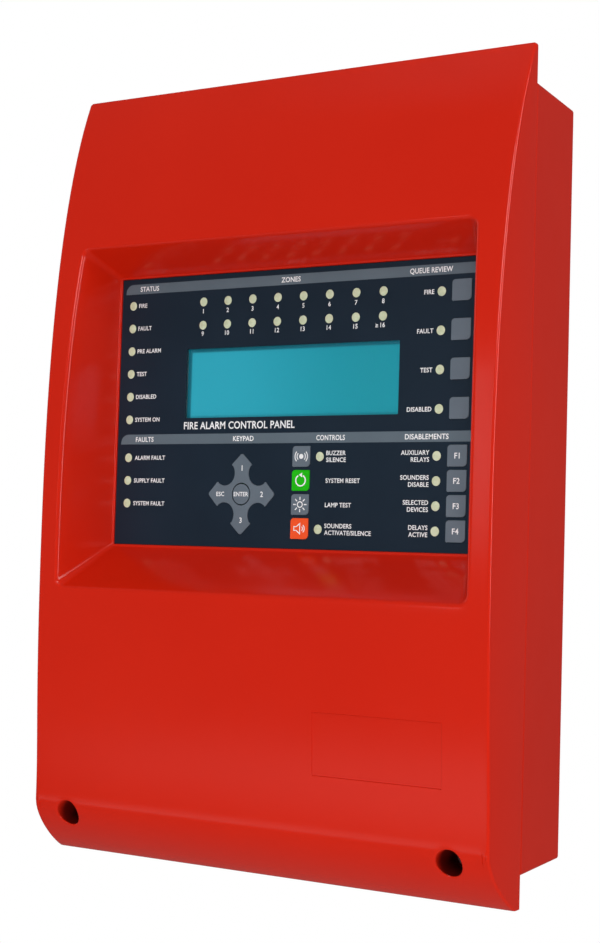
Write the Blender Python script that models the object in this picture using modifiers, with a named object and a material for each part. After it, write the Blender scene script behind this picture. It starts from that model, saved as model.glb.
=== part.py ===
"""Wall-hung fire alarm control panel: back box, swing-open front cover, membrane keypad, display and works.

Run with: blender --background --python part.py
Frame: +Z up, front towards -Y. The origin is the centre of the back box's wall face.
The driving dimensions are millimetres, multiplied by MM where they become metres.
"""

import math

import bmesh
import bpy
from mathutils import Vector

MM = 0.001
GAP = 0.3  # air between neighbouring solids

# Back box
BOX_W, BOX_H, BOX_D = 285.7, 407.4, 58.0
WALL = 2.6

# Front cover: its rim plane is the front edge of the box
COVER_W, COVER_H = 285.7, 445.0
COVER_BELOW_BOX = 16.9
COVER_BOTTOM = -BOX_H / 2 - COVER_BELOW_BOX
RIM_Y = -BOX_D - GAP
COVER_WALL = 3.0
SIDE_DRAFT = 0.1  # sideways run of the cover's side for each millimetre of depth
BELLY_UP, BELLY_DEPTH = 190.0, 39.2  # height and depth of the cover's deepest line

# Display recess: flat floor with four sloping walls
FLOOR_Y, FLOOR_BACK_Y = -61.5, -58.5
FLOOR_LEFT, FLOOR_RIGHT, FLOOR_LOW, FLOOR_HIGH = -114.1, 114.1, 177.3, 336.1
SLOPE_SIDE, SLOPE_LOW, SLOPE_HIGH = 0.348, 0.67, 0.51
TUB_WALL = 2.5

# Membrane face and what shows through it
MEMBRANE_Y, MEMBRANE_THICK = -61.0, 0.7
MEMBRANE_LEFT, MEMBRANE_RIGHT, MEMBRANE_LOW, MEMBRANE_HIGH = -112.7, 112.7, 178.9, 334.7
LCD_LEFT, LCD_RIGHT, LCD_LOW, LCD_HIGH = -66.2, 69.3, 252.2, 292.1
LED_WIDE, LED_TALL, LED_SIDES = 4.8, 5.1, 10

STATUS_LEDS = [(-105.0, 319.0 - 13.45 * i) for i in range(6)]
ZONE_LEDS = [(-56.0 + 16.4 * i, z) for z in (319.1, 305.6) for i in range(8)]
QUEUE_LEDS = [(93.0, 317.1 - 20.83 * i) for i in range(4)]
FAULT_LEDS = [(-104.8, 229.4 - 13.3 * i) for i in range(3)]
CONTROL_LEDS = [(22.7, 229.7), (22.7, 189.8)]
DISABLE_LEDS = [(92.4, 229.8 - 13.25 * i) for i in range(4)]

KEY_W, KEY_H = 11.0, 11.4
KEY_FACE_Y = -61.4
KEY_STEM_R = 1.6
QUEUE_KEYS = [(104.7, 317.3 - 20.8 * i) for i in range(4)]
FUNCTION_KEYS = [(104.2, 229.9 - 13.2 * i) for i in range(4)]
CONTROL_KEYS = [(11.3, 229.8 - 13.27 * i) for i in range(4)]
CONTROL_NAMES = ("buzzer_silence", "system_reset", "lamp_test", "sounders")
PAD_X, PAD_Z = -26.7, 208.7
PAD_REACH, PAD_HEAD_HALF, PAD_HEAD_BACK, PAD_NOTCH = 22.05, 6.55, 5.95, 11.35
PAD_STEM = 12.5  # how far out each arm's stem is
PAD_STRETCH_X, PAD_STRETCH_Z = 0.971, 1.029
ENTER_R, ENTER_RING = 5.55, 0.7

# Cover screws in deep bores at the lower corners
SCREW_X, SCREW_UP = 117.5, 25.4
BORE_R, BORE_WALL = 7.0, 2.3
BORE_FLOOR_Y = -66.0

# Display stack behind the recess floor
BOARD_FRONT_Y, BOARD_THICK = -49.0, 1.6
PILLAR_X, PILLAR_UPS = 113.0, (190.0, 325.0)
SWITCH_HALF, SWITCH_TALL = 2.2, 4.4
# Works on the back wall
MAIN_Y = -8.0
RIBBON_X = (-80.0, -54.0)
HINGE_UP = 424.8

SEGMENTS = 24


def up(z):
    """Height above the cover's bottom edge, turned into the part's own Z in millimetres."""
    return COVER_BOTTOM + z


def clear_scene():
    for obj in list(bpy.data.objects):
        bpy.data.objects.remove(obj, do_unlink=True)


def new_collection(name):
    coll = bpy.data.collections.new(name)
    bpy.context.scene.collection.children.link(coll)
    return coll


clear_scene()
PARTS = new_collection("fire_alarm_control_panel")
CUTTERS = new_collection("cutters")


def material(name, rgb, roughness, metallic=0.0):
    mat = bpy.data.materials.get(name)
    if mat is None:
        mat = bpy.data.materials.new(name)
        mat.use_nodes = True
        shader = mat.node_tree.nodes["Principled BSDF"]
        shader.inputs["Base Color"].default_value = (*rgb, 1.0)
        shader.inputs["Roughness"].default_value = roughness
        shader.inputs["Metallic"].default_value = metallic
    return mat


RED = material("red_abs", (0.52, 0.020, 0.012), 0.25)
NAVY = material("membrane_navy", (0.013, 0.022, 0.038), 0.4)
GREY = material("key_grey", (0.09, 0.11, 0.14), 0.4)
GREEN = material("key_green", (0.02, 0.45, 0.01), 0.4)
ORANGE = material("key_orange", (0.85, 0.09, 0.02), 0.4)
CREAM = material("led_window", (0.52, 0.54, 0.34), 0.3)
LCD_TEAL = material("lcd_teal", (0.01, 0.30, 0.36), 0.2)
CLEAR = material("clear_window", (0.6, 0.8, 0.85), 0.05)
STEEL = material("zinc_steel", (0.6, 0.6, 0.62), 0.35, 1.0)
ALUMINIUM = material("aluminium", (0.7, 0.7, 0.72), 0.4, 1.0)
BOARD_GREEN = material("board_green", (0.01, 0.13, 0.05), 0.35)
BLACK = material("black_plastic", (0.015, 0.015, 0.016), 0.45)
WHITE = material("white_plastic", (0.7, 0.7, 0.68), 0.4)
TERMINAL_GREEN = material("terminal_green", (0.02, 0.30, 0.10), 0.4)
YELLOW = material("winding_yellow", (0.75, 0.5, 0.05), 0.5)
BATTERY_GREY = material("battery_case", (0.08, 0.085, 0.09), 0.5)
RIBBON = material("ribbon_grey", (0.45, 0.45, 0.46), 0.5)


def add(name, bm, mat, origin=(0.0, 0.0, 0.0), cutter=False):
    """Link a bmesh drawn in millimetres as an object whose origin is at the given point."""
    bm.normal_update()
    bmesh.ops.recalc_face_normals(bm, faces=bm.faces)
    bmesh.ops.translate(bm, verts=bm.verts, vec=-Vector(origin))
    bmesh.ops.scale(bm, verts=bm.verts, vec=(MM, MM, MM))
    mesh = bpy.data.meshes.new(name)
    bm.to_mesh(mesh)
    bm.free()
    obj = bpy.data.objects.new(name, mesh)
    obj.location = Vector(origin) * MM
    (CUTTERS if cutter else PARTS).objects.link(obj)
    if cutter:
        obj.hide_render = True
        obj.display_type = "WIRE"
    else:
        mesh.materials.append(mat)
        mesh.shade_smooth()
        mesh.set_sharp_from_angle(angle=math.radians(32))
    return obj


def add_block(bm, x, y, z):
    """A box between two values on each axis."""
    made = bmesh.ops.create_cube(bm, size=1.0)["verts"]
    size = (x[1] - x[0], y[1] - y[0], z[1] - z[0])
    centre = ((x[0] + x[1]) / 2, (y[0] + y[1]) / 2, (z[0] + z[1]) / 2)
    bmesh.ops.scale(bm, verts=made, vec=size)
    bmesh.ops.translate(bm, verts=made, vec=centre)
    return made


def add_post(bm, x, z, radius, y, segments=SEGMENTS, tall=1.0):
    """A cylinder along Y; tall stretches it in Z."""
    made = bmesh.ops.create_cone(
        bm, cap_ends=True, segments=segments, radius1=radius, radius2=radius, depth=y[1] - y[0]
    )["verts"]
    for vert in made:
        vert.co = Vector((vert.co.x + x, vert.co.z + (y[0] + y[1]) / 2, vert.co.y * tall + z))
    return made


def block(name, x, y, z, mat=None, bevel=0.0, cutter=False):
    bm = bmesh.new()
    add_block(bm, x, y, z)
    obj = add(name, bm, mat, cutter=cutter)
    if bevel:
        round_edges(obj, bevel)
    return obj


def round_edges(obj, width, segments=2):
    mod = obj.modifiers.new("round", "BEVEL")
    mod.width = width * MM
    mod.segments = segments
    mod.limit_method = "ANGLE"
    mod.angle_limit = math.radians(40)


def boolean(obj, cutter, operation="DIFFERENCE"):
    mod = obj.modifiers.new(operation.lower(), "BOOLEAN")
    mod.operation = operation
    mod.object = cutter
    return obj


def add_outline(bm, outline, y):
    """A flat plate: a closed XZ outline, filled and extruded from one Y to the other."""
    ring = [bm.verts.new((x, y[0], z)) for x, z in outline]
    face = bm.faces.new(ring)
    made = bmesh.ops.extrude_face_region(bm, geom=[face])["geom"]
    moved = [v for v in made if isinstance(v, bmesh.types.BMVert)]
    bmesh.ops.translate(bm, verts=moved, vec=(0, y[1] - y[0], 0))


def plate(name, outline, y, mat=None, origin=(0.0, 0.0, 0.0), cutter=False):
    bm = bmesh.new()
    add_outline(bm, outline, y)
    return add(name, bm, mat, origin, cutter)


def posts(name, places, radius, y, segments=12, tall=1.0):
    """A cutter made of one cylinder at each place."""
    bm = bmesh.new()
    for x, z in places:
        add_post(bm, x, z, radius, y, segments, tall)
    return add(name, bm, None, cutter=True)


def bezier(p0, p1, p2, p3, steps):
    """Points of a cubic curve, without its last point."""
    points = []
    for i in range(steps):
        t = i / steps
        s = 1 - t
        weights = (s**3, 3 * s * s * t, 3 * s * t * t, t**3)
        points.append(tuple(sum(w * p[k] for w, p in zip(weights, (p0, p1, p2, p3))) for k in (0, 1)))
    return points


def arc(cx, cz, radius, start, end, steps):
    """Points of an arc in degrees, both ends included."""
    angles = [math.radians(start + (end - start) * i / steps) for i in range(steps + 1)]
    return [(cx + radius * math.cos(a), cz + radius * math.sin(a)) for a in angles]


def cover_profile(inset):
    """Side outline of the cover as (height, depth in front of the rim), inset by a wall thickness."""
    top = (COVER_H - inset, 1.5)
    belly = (BELLY_UP, BELLY_DEPTH - inset)
    knee = (32.0, 34.3 - inset)
    foot = (inset, 3.5)
    points = bezier(top, (369.5, 37.7 - inset), (247.5, belly[1]), belly, 14)
    points += bezier(belly, (89, belly[1]), (69, knee[1]), knee, 5)
    points += bezier(knee, (18.6 + inset / 2, knee[1]), (foot[0], 7.1), foot, 8)
    points.append(foot)
    return points


def cover_body(name, inset, back_y, cutter=False):
    """Solid of the cover's outer form, or the space inside it when inset is the wall thickness."""
    bm = bmesh.new()
    outline = [(RIM_Y - depth, up(height)) for height, depth in cover_profile(inset)]
    outline += [(back_y, outline[-1][1])]
    outline.insert(0, (back_y, outline[0][1]))
    half = COVER_W / 2 - inset
    ring = [bm.verts.new((-half, y, z)) for y, z in outline]
    face = bm.faces.new(ring)
    made = bmesh.ops.extrude_face_region(bm, geom=[face])["geom"]
    moved = [v for v in made if isinstance(v, bmesh.types.BMVert)]
    bmesh.ops.translate(bm, verts=moved, vec=(2 * half, 0, 0))
    for vert in bm.verts:
        depth = max(0.0, RIM_Y - vert.co.y)
        vert.co.x -= math.copysign(SIDE_DRAFT * depth, vert.co.x)
    return add(name, bm, RED, cutter=cutter)


def recess_form(name, grow, floor_y, corner):
    """Frustum of the display recess, from its floor out past the cover's front."""
    front_y = -110.0
    bm = bmesh.new()
    rings = []
    for y in (floor_y, front_y):
        out = FLOOR_Y - y
        x0 = FLOOR_LEFT - grow - SLOPE_SIDE * out
        x1 = FLOOR_RIGHT + grow + SLOPE_SIDE * out
        z0 = up(FLOOR_LOW) - grow - SLOPE_LOW * out
        z1 = up(FLOOR_HIGH) + grow + SLOPE_HIGH * out
        points = []
        for cx, cz, start in ((x1, z1, 0), (x0, z1, 90), (x0, z0, 180), (x1, z0, 270)):
            inner_x = cx - math.copysign(corner, cx)
            inner_z = z1 - corner if cz == z1 else z0 + corner
            points += arc(inner_x, inner_z, corner, start, start + 90, 3)
        rings.append([bm.verts.new((x, y, z)) for x, z in points])
    count = len(rings[0])
    for i in range(count):
        j = (i + 1) % count
        bm.faces.new((rings[0][i], rings[0][j], rings[1][j], rings[1][i]))
    bm.faces.new(rings[0])
    bm.faces.new(rings[1])
    return add(name, bm, RED, cutter=True)


def screw_places():
    return [(-SCREW_X, up(SCREW_UP)), (SCREW_X, up(SCREW_UP))]


def pillar_places():
    return [(x, up(z)) for x in (-PILLAR_X, PILLAR_X) for z in PILLAR_UPS]


def front_cover():
    """Curved shell with the recess tub, deep screw bores, ribs at the box's edges and board pillars."""
    cover = cover_body("front_cover", 0.0, RIM_Y)
    round_edges(cover, 1.4)
    boolean(cover, cover_body("cover_space", COVER_WALL, RIM_Y + 1, cutter=True))
    limit = cover_body("cover_limit", 0.6, RIM_Y, cutter=True)
    tub = recess_form("cover_tub", TUB_WALL, FLOOR_BACK_Y, 4.5)
    bosses = posts("bore_bosses", screw_places(), BORE_R + BORE_WALL, (-92, -60), SEGMENTS)
    added = [tub, bosses]
    sides = (-COVER_W / 2 + 1, COVER_W / 2 - 1)
    for name, low in (("lower_rib", -BOX_H / 2), ("upper_rib", BOX_H / 2 - TUB_WALL)):
        added.append(block(name, sides, (-92, RIM_Y), (low, low + TUB_WALL), cutter=True))
    for form in added:
        boolean(form, limit, "INTERSECT")
        boolean(cover, form, "UNION")
    boolean(cover, posts("board_pillars", pillar_places(), 3.0, (-59.5, BOARD_FRONT_Y - GAP)), "UNION")
    boolean(cover, recess_form("recess", 0.0, FLOOR_Y, 3.0))
    pocket_x = (MEMBRANE_LEFT - GAP, MEMBRANE_RIGHT + GAP)
    pocket_z = (up(MEMBRANE_LOW) - GAP, up(MEMBRANE_HIGH) + GAP)
    boolean(cover, block("membrane_pocket", pocket_x, (-62, -60), pocket_z, cutter=True))
    window = ((-111.3, 111.3), (-61, -57), (up(182.5), up(331.5)))
    boolean(cover, block("floor_window", *window, cutter=True))
    boolean(cover, posts("screw_bores", screw_places(), BORE_R, (-100, BORE_FLOOR_Y), SEGMENTS))
    boolean(cover, posts("screw_clearance", screw_places(), 2.6, (BORE_FLOOR_Y - 1, -59)))
    boolean(cover, posts("pillar_holes", pillar_places(), 1.5, (-55, -48)))
    label = block("label_recess", (41.0, 113.7), (-100, RIM_Y - 30), (up(62), up(94.5)), cutter=True)
    boolean(label, cover_body("label_depth", 0.5, RIM_Y, cutter=True))
    return boolean(cover, label)


def leaf_outline(x, z, width, height, soft, tight):
    """Key face with a soft top-left and bottom-right corner and two tight ones."""
    hw, hh = width / 2, height / 2
    points = arc(x + hw - tight, z + hh - tight, tight, 0, 90, 1)
    points += arc(x - hw + soft, z + hh - soft, soft, 90, 180, 3)
    points += arc(x - hw + tight, z - hh + tight, tight, 180, 270, 1)
    points += arc(x + hw - soft * 1.3, z - hh + soft * 1.3, soft * 1.3, 270, 360, 3)
    return points


def arm_outline(turn, shrink):
    """One arm of the navigation pad: a diamond head on a waisted neck, out at the given quarter turn."""
    reach, head_half = PAD_REACH - shrink, PAD_HEAD_HALF - shrink
    head_at = PAD_REACH - PAD_HEAD_BACK
    notch_r = math.hypot(head_at - PAD_NOTCH, PAD_HEAD_HALF - PAD_NOTCH) + shrink
    inner_r = ENTER_R + ENTER_RING
    lean = math.degrees(shrink / notch_r)
    upper = [(reach - 0.5, 0.5), (head_at + 0.4, head_half - 0.4)]
    upper += arc(PAD_NOTCH, PAD_NOTCH, notch_r, -46, -135 + lean, 6)
    inner = arc(0, 0, inner_r, 45 - lean, -45 + lean, 4)
    points = [(reach, 0.0)] + upper + inner + [(px, -py) for px, py in reversed(upper)]
    angle = math.radians(90 * turn)
    cos, sin = math.cos(angle), math.sin(angle)
    turned = [(px * cos - py * sin, px * sin + py * cos) for px, py in points]
    return [(PAD_X + px * PAD_STRETCH_X, up(PAD_Z) + pz * PAD_STRETCH_Z) for px, pz in turned]


def round_outline(radius):
    """The navigation pad's middle, stretched like its arms."""
    ring = arc(0, 0, radius, 0, 345, 23)
    return [(PAD_X + px * PAD_STRETCH_X, up(PAD_Z) + pz * PAD_STRETCH_Z) for px, pz in ring]


def key(name, outline, stem_at, mat):
    """A sealed key: its face proud of the membrane, and a stem that reaches its switch."""
    origin = (stem_at[0], KEY_FACE_Y, stem_at[1])
    obj = plate(name, outline, (KEY_FACE_Y, -58.9), mat, origin)
    round_edges(obj, 0.25, 1)
    stem = posts(name + "_stem", [stem_at], KEY_STEM_R, (-59.5, BOARD_FRONT_Y - SWITCH_TALL - 1), 8)
    return boolean(obj, stem, "UNION")


def key_plan():
    """Every key: its name, its shape as (kind, x, z, quarter turn) and its material."""
    plan = []
    for i, (x, z) in enumerate(QUEUE_KEYS):
        plan.append((f"queue_key_{i + 1}", ("leaf", x, up(z), 0), GREY))
    for i, (x, z) in enumerate(FUNCTION_KEYS):
        plan.append((f"function_key_{i + 1}", ("leaf", x, up(z), 0), GREY))
    for name, (x, z), mat in zip(CONTROL_NAMES, CONTROL_KEYS, (GREY, GREEN, GREY, ORANGE)):
        plan.append((name + "_key", ("leaf", x, up(z), 0), mat))
    for turn, side in enumerate(("right", "up", "left", "down")):
        angle = math.radians(90 * turn)
        x, z = PAD_X + PAD_STEM * math.cos(angle), up(PAD_Z) + PAD_STEM * math.sin(angle)
        plan.append((f"pad_{side}_key", ("arm", x, z, turn), GREY))
    plan.append(("enter_key", ("round", PAD_X, up(PAD_Z), 0), GREY))
    return plan


def key_shape(shape, grow):
    """Outline of a key grown on all sides."""
    kind, x, z, turn = shape
    if kind == "leaf":
        return leaf_outline(x, z, KEY_W + 2 * grow, KEY_H + 2 * grow, 1.8, 0.4)
    if kind == "arm":
        return arm_outline(turn, GAP / 2 - grow)
    return round_outline(ENTER_R + grow)


def keys():
    for name, shape, mat in key_plan():
        key(name, key_shape(shape, 0.0), shape[1:3], mat)


def key_holes(name, y, grow):
    bm = bmesh.new()
    for _, shape, _ in key_plan():
        if shape[0] == "leaf":
            add_outline(bm, key_shape(shape, grow), y)
    return add(name, bm, None, cutter=True)


def led_posts(name, places, radius, y):
    """Slightly tall round forms at the lamp windows."""
    spots = [(x, up(z)) for x, z in places]
    return posts(name, spots, radius, y, LED_SIDES, LED_TALL / LED_WIDE)


def membrane():
    """The sealed front sheet, with an opening for each key, lamp window and the display."""
    outline = [(MEMBRANE_LEFT, up(MEMBRANE_LOW)), (MEMBRANE_RIGHT, up(MEMBRANE_LOW))]
    outline += [(MEMBRANE_RIGHT, up(MEMBRANE_HIGH)), (MEMBRANE_LEFT, up(MEMBRANE_HIGH))]
    y = (MEMBRANE_Y, MEMBRANE_Y + MEMBRANE_THICK)
    sheet = plate("membrane_overlay", outline, y, NAVY)
    through = (y[0] - 1, y[1] + 1)
    leds = STATUS_LEDS + ZONE_LEDS + QUEUE_LEDS + FAULT_LEDS + CONTROL_LEDS + DISABLE_LEDS
    boolean(sheet, led_posts("led_holes", leds, (LED_WIDE + GAP) / 2, through))
    boolean(sheet, key_holes("key_holes", through, GAP))
    for turn in range(4):
        boolean(sheet, plate(f"arm_hole_{turn}", arm_outline(turn, -GAP), through, cutter=True))
    pad_middle = round_outline(ENTER_R + ENTER_RING + 1.2)
    boolean(sheet, plate("pad_hole", pad_middle, through, cutter=True))
    window = ((LCD_LEFT - GAP, LCD_RIGHT + GAP), through, (up(LCD_LOW) - GAP, up(LCD_HIGH) + GAP))
    return boolean(sheet, block("window_hole", *window, cutter=True))


def led_span(places):
    xs = [x for x, _ in places]
    zs = [up(z) for _, z in places]
    return (min(xs) - 3.2, max(xs) + 3.2), (min(zs) - 3.2, max(zs) + 3.2)


def light_guide(name, places):
    """A moulded strip behind the plate with one round window for each lamp."""
    x, z = led_span(places)
    strip = block(name, x, (-57.4, -55.4), z, CREAM)
    windows = led_posts(name + "_windows", places, (LED_WIDE - GAP) / 2, (MEMBRANE_Y, -56.5))
    return boolean(strip, windows, "UNION")


GUIDES = {
    "status_light_guide": STATUS_LEDS,
    "zone_light_guide": ZONE_LEDS,
    "queue_light_guide": QUEUE_LEDS,
    "fault_light_guide": FAULT_LEDS,
    "control_light_guide": CONTROL_LEDS,
    "disablement_light_guide": DISABLE_LEDS,
}


def add_openings(bm, places, half_x, half_z, y):
    """A block through the plate round each place."""
    for x, z in places:
        add_block(bm, (x - half_x, x + half_x), y, (up(z) - half_z, up(z) + half_z))


def display_plate():
    """Stiff plate that backs the membrane inside the cover's window."""
    body = block("display_plate", (-111.0, 111.0), (-60.0, -57.8), (up(182.8), up(331.2)), ALUMINIUM)
    through = (-61, -57)
    guides = bmesh.new()
    for places in GUIDES.values():
        if places is CONTROL_LEDS:
            add_openings(guides, places, 3.4, 3.4, through)
        else:
            x, z = led_span(places)
            add_block(guides, x, through, z)
    boolean(body, add("guide_slots", guides, None, cutter=True))
    leaves = bmesh.new()
    spare = 0.6
    half_x, half_z = KEY_W / 2 + spare, KEY_H / 2 + spare
    add_openings(leaves, QUEUE_KEYS + FUNCTION_KEYS + CONTROL_KEYS, half_x, half_z, through)
    boolean(body, add("leaf_slots", leaves, None, cutter=True))
    boolean(body, posts("pad_slot", [(PAD_X, up(PAD_Z))], PAD_REACH + 1.6, through, 24))
    window = ((LCD_LEFT - 1, LCD_RIGHT + 1), through, (up(LCD_LOW) - 1, up(LCD_HIGH) + 1))
    return boolean(body, block("plate_window", *window, cutter=True))


def lcd():
    """Display: clear window in the membrane, and a glass in its steel frame behind it."""
    window_y = (MEMBRANE_Y, MEMBRANE_Y + 2.0)
    block("lcd_window", (LCD_LEFT, LCD_RIGHT), window_y, (up(LCD_LOW), up(LCD_HIGH)), CLEAR)
    frame = block("lcd_frame", (-84, 87), (-57.4, -52.6), (up(242.5), up(300.9)), STEEL, 0.6)
    view = ((LCD_LEFT - 0.4, LCD_RIGHT + 0.4), (-58, -53.8), (up(LCD_LOW) - 0.4, up(LCD_HIGH) + 0.4))
    boolean(frame, block("frame_view", *view, cutter=True))
    glass = ((LCD_LEFT, LCD_RIGHT), (-56.6, -54.2), (up(LCD_LOW), up(LCD_HIGH)))
    block("lcd_glass", *glass, LCD_TEAL)


def display_board():
    """Board behind the fascia, with a push switch under every key."""
    y = (BOARD_FRONT_Y, BOARD_FRONT_Y + BOARD_THICK)
    board = block("display_board", (-117, 117), y, (up(183), up(332)), BOARD_GREEN)
    bm = bmesh.new()
    switch_y = (BOARD_FRONT_Y - SWITCH_TALL, BOARD_FRONT_Y + 0.4)
    for _, (_, x, z, _), _ in key_plan():
        add_block(bm, (x - SWITCH_HALF, x + SWITCH_HALF), switch_y, (z - SWITCH_HALF, z + SWITCH_HALF))
    boolean(board, add("switches", bm, None, cutter=True), "UNION")
    return boolean(board, posts("board_screw_holes", pillar_places(), 1.6, (-52, -45)))


def screw(name, x, z, head_r, head_y, tip_y, shaft_r, mat, drive=0.0):
    """A pan-head screw along Y with its head at head_y; drive is the depth of its hexagon socket."""
    step = 1 if head_y[0] < tip_y else -1
    bm = bmesh.new()
    add_post(bm, x, z, head_r, head_y, 16)
    obj = add(name, bm, mat, (x, (head_y[0] + head_y[1]) / 2, z))
    round_edges(obj, 0.4, 1)
    inner = head_y[1] - 0.5 if step > 0 else head_y[0] + 0.5
    shaft = posts(name + "_shaft", [(x, z)], shaft_r, (min(inner, tip_y), max(inner, tip_y)), 10)
    boolean(obj, shaft, "UNION")
    if drive:
        outer = head_y[0] if step > 0 else head_y[1]
        boolean(obj, posts(name + "_drive", [(x, z)], head_r * 0.45, (outer - drive, outer + drive), 6))
    return obj


def cover_screws():
    head = (BORE_FLOOR_Y - GAP - 3.0, BORE_FLOOR_Y - GAP)
    for side, (x, z) in zip(("left", "right"), screw_places()):
        screw(f"cover_screw_{side}", x, z, 4.5, head, RIM_Y, 2.1, STEEL, 1.0)


def display_works():
    """Screws and sounder on the back of the display board."""
    back = BOARD_FRONT_Y + BOARD_THICK + GAP
    corners = (("left", -PILLAR_X, PILLAR_UPS[1]), ("right", PILLAR_X, PILLAR_UPS[0]))
    for side, x, z in corners:
        screw(f"display_screw_{side}", x, up(z), 2.8, (back, back + 2), -54, 1.15, STEEL, 0.6)
    place = (70, up(205))
    bm = bmesh.new()
    add_post(bm, *place, 11, (back, back + 9), 24)
    buzzer = add("buzzer", bm, BLACK)
    round_edges(buzzer, 0.6, 1)
    return boolean(buzzer, posts("buzzer_hole", [place], 2.0, (back + 6, back + 12)))


def keyhole(x, z, head_r, slot_r, run):
    """Outline of a wall-fixing keyhole: round head below, slot upwards."""
    points = arc(x, z, head_r, 90 + 35, 360 + 90 - 35, 12)
    points += arc(x, z + run, slot_r, 0, 180, 6)
    return points


def back_box():
    """Open-fronted moulding with wall fixings, board pillars, battery shelf and screw bosses."""
    half = BOX_W / 2
    box = block("back_box", (-half, half), (-BOX_D, 0), (-BOX_H / 2, BOX_H / 2), RED, 1.5)
    inside = ((-half + WALL, half - WALL), (-BOX_D - 5, -WALL), (-BOX_H / 2 + WALL, BOX_H / 2 - WALL))
    boolean(box, block("box_space", *inside, cutter=True))
    shelf = ((-half + 1, half - 1), (-42, -1), (up(33), up(35.5)))
    boolean(box, block("battery_shelf", *shelf, cutter=True), "UNION")
    boolean(box, posts("screw_bosses", screw_places(), 5.0, (-BOX_D + 0.5, -1), 16), "UNION")
    boolean(box, posts("screw_threads", screw_places(), 1.9, (-BOX_D - 1, -BOX_D + 14), 12))
    boolean(box, posts("board_posts", MAIN_POSTS, 4.0, (MAIN_Y + GAP, -1), 12), "UNION")
    boolean(box, posts("post_holes", MAIN_POSTS, 1.6, (-10, -2.2), 10))
    for i, (x, z) in enumerate(((0, 374), (-95, 120), (95, 120))):
        hole = plate(f"keyhole_{i}", keyhole(x, up(z), 5.0, 2.6, 8.0), (-4, 1), cutter=True)
        boolean(box, hole)
    bm = bmesh.new()
    for i in range(6):
        ring = bmesh.ops.create_cone(
            bm, cap_ends=True, segments=20, radius1=10.5, radius2=10.5, depth=1.0
        )["verts"]
        bmesh.ops.translate(bm, verts=ring, vec=(-100 + 40 * i, -30, BOX_H / 2))
    return boolean(box, add("knockout_marks", bm, None, cutter=True))


MAIN_POSTS = [(x, up(z)) for x in (-112, 112) for z in (156, 338)]


def main_board():
    """Main board on its four posts, with processor, relays and field terminals."""
    y = (MAIN_Y - BOARD_THICK, MAIN_Y)
    board = block("main_board", (-120, 120), y, (up(148), up(346)), BOARD_GREEN)
    boolean(board, posts("main_board_holes", MAIN_POSTS, 1.6, (-11, -7), 10))
    face = MAIN_Y - BOARD_THICK - GAP
    for i, (x, z) in enumerate(MAIN_POSTS):
        screw(f"board_screw_{i + 1}", x, z, 3.2, (face - 2, face), -3.2, 1.2, STEEL, 0.6)
    block("processor", (-12, 12), (face - 2.2, face), (up(240), up(264)), BLACK, 0.3)
    for name, x in (("relay_left", -80), ("relay_right", -50)):
        block(name, (x - 9, x + 9), (face - 15, face), (up(196), up(224)), WHITE, 0.6)
    for name, x in (("terminals_left", -72), ("terminals_middle", 0), ("terminals_right", 72)):
        terminals(name, x, up(150), face, 8)


def terminals(name, x, z, face, ways):
    """A screw terminal block: a stepped body with a screw well and a wire entry for each way."""
    pitch = 7.6
    half = ways * pitch / 2 + 0.8
    body = block(name, (x - half, x + half), (face - 12, face), (z + 8, z + 20), TERMINAL_GREEN, 0.4)
    centres = [x + pitch * (i - (ways - 1) / 2) for i in range(ways)]
    boolean(body, posts(name + "_wells", [(c, z + 15.5) for c in centres], 2.0, (face - 14, face - 8), 6))
    bm = bmesh.new()
    for c in centres:
        add_block(bm, (c - 2.1, c + 2.1), (face - 9.5, face - 4.5), (z + 6, z + 12))
    return boolean(body, add(name + "_entries", bm, None, cutter=True))


def power_supply():
    """Mains side at the top: its own board with transformer, heatsink, terminal and fuse."""
    board_y = (MAIN_Y - BOARD_THICK, MAIN_Y)
    psu = block("power_supply_board", (10, 132), board_y, (up(350), up(414)), BOARD_GREEN)
    feet = [(16, up(356)), (126, up(408))]
    boolean(psu, posts("power_supply_feet", feet, 3.5, (MAIN_Y - 0.5, -WALL - GAP), 12), "UNION")
    face = MAIN_Y - BOARD_THICK - GAP
    core = block("transformer", (60, 92), (face - 26, face), (up(358), up(396)), YELLOW, 0.8)
    bm = bmesh.new()
    add_block(bm, (56, 96), (face - 20, face - 6), (up(362), up(392)))
    boolean(core, add("transformer_core", bm, None, cutter=True), "UNION")
    sink = block("heatsink", (102, 128), (face - 24, face), (up(354), up(404)), ALUMINIUM)
    bm = bmesh.new()
    for i in range(4):
        x = 105.2 + 5.6 * i
        add_block(bm, (x, x + 3.0), (face - 30, face - 5), (up(350), up(410)))
    boolean(sink, add("heatsink_slots", bm, None, cutter=True))
    terminals("mains_terminal", 30, up(386), face, 3)
    fuse = block("fuse_carrier", (20, 48), (face - 11, face), (up(362), up(374)), BLACK, 0.5)
    bm = bmesh.new()
    add_block(bm, (24, 44), (face - 13, face - 4), (up(365), up(371)))
    boolean(fuse, add("fuse_slot", bm, None, cutter=True))
    bm = bmesh.new()
    add_post(bm, -40, up(392), 2.0, (-20, -WALL - GAP), 12)
    stud = add("earth_stud", bm, STEEL)
    boolean(stud, posts("earth_nut", [(-40, up(392))], 4.2, (-10, -6.5), 6), "UNION")


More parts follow.
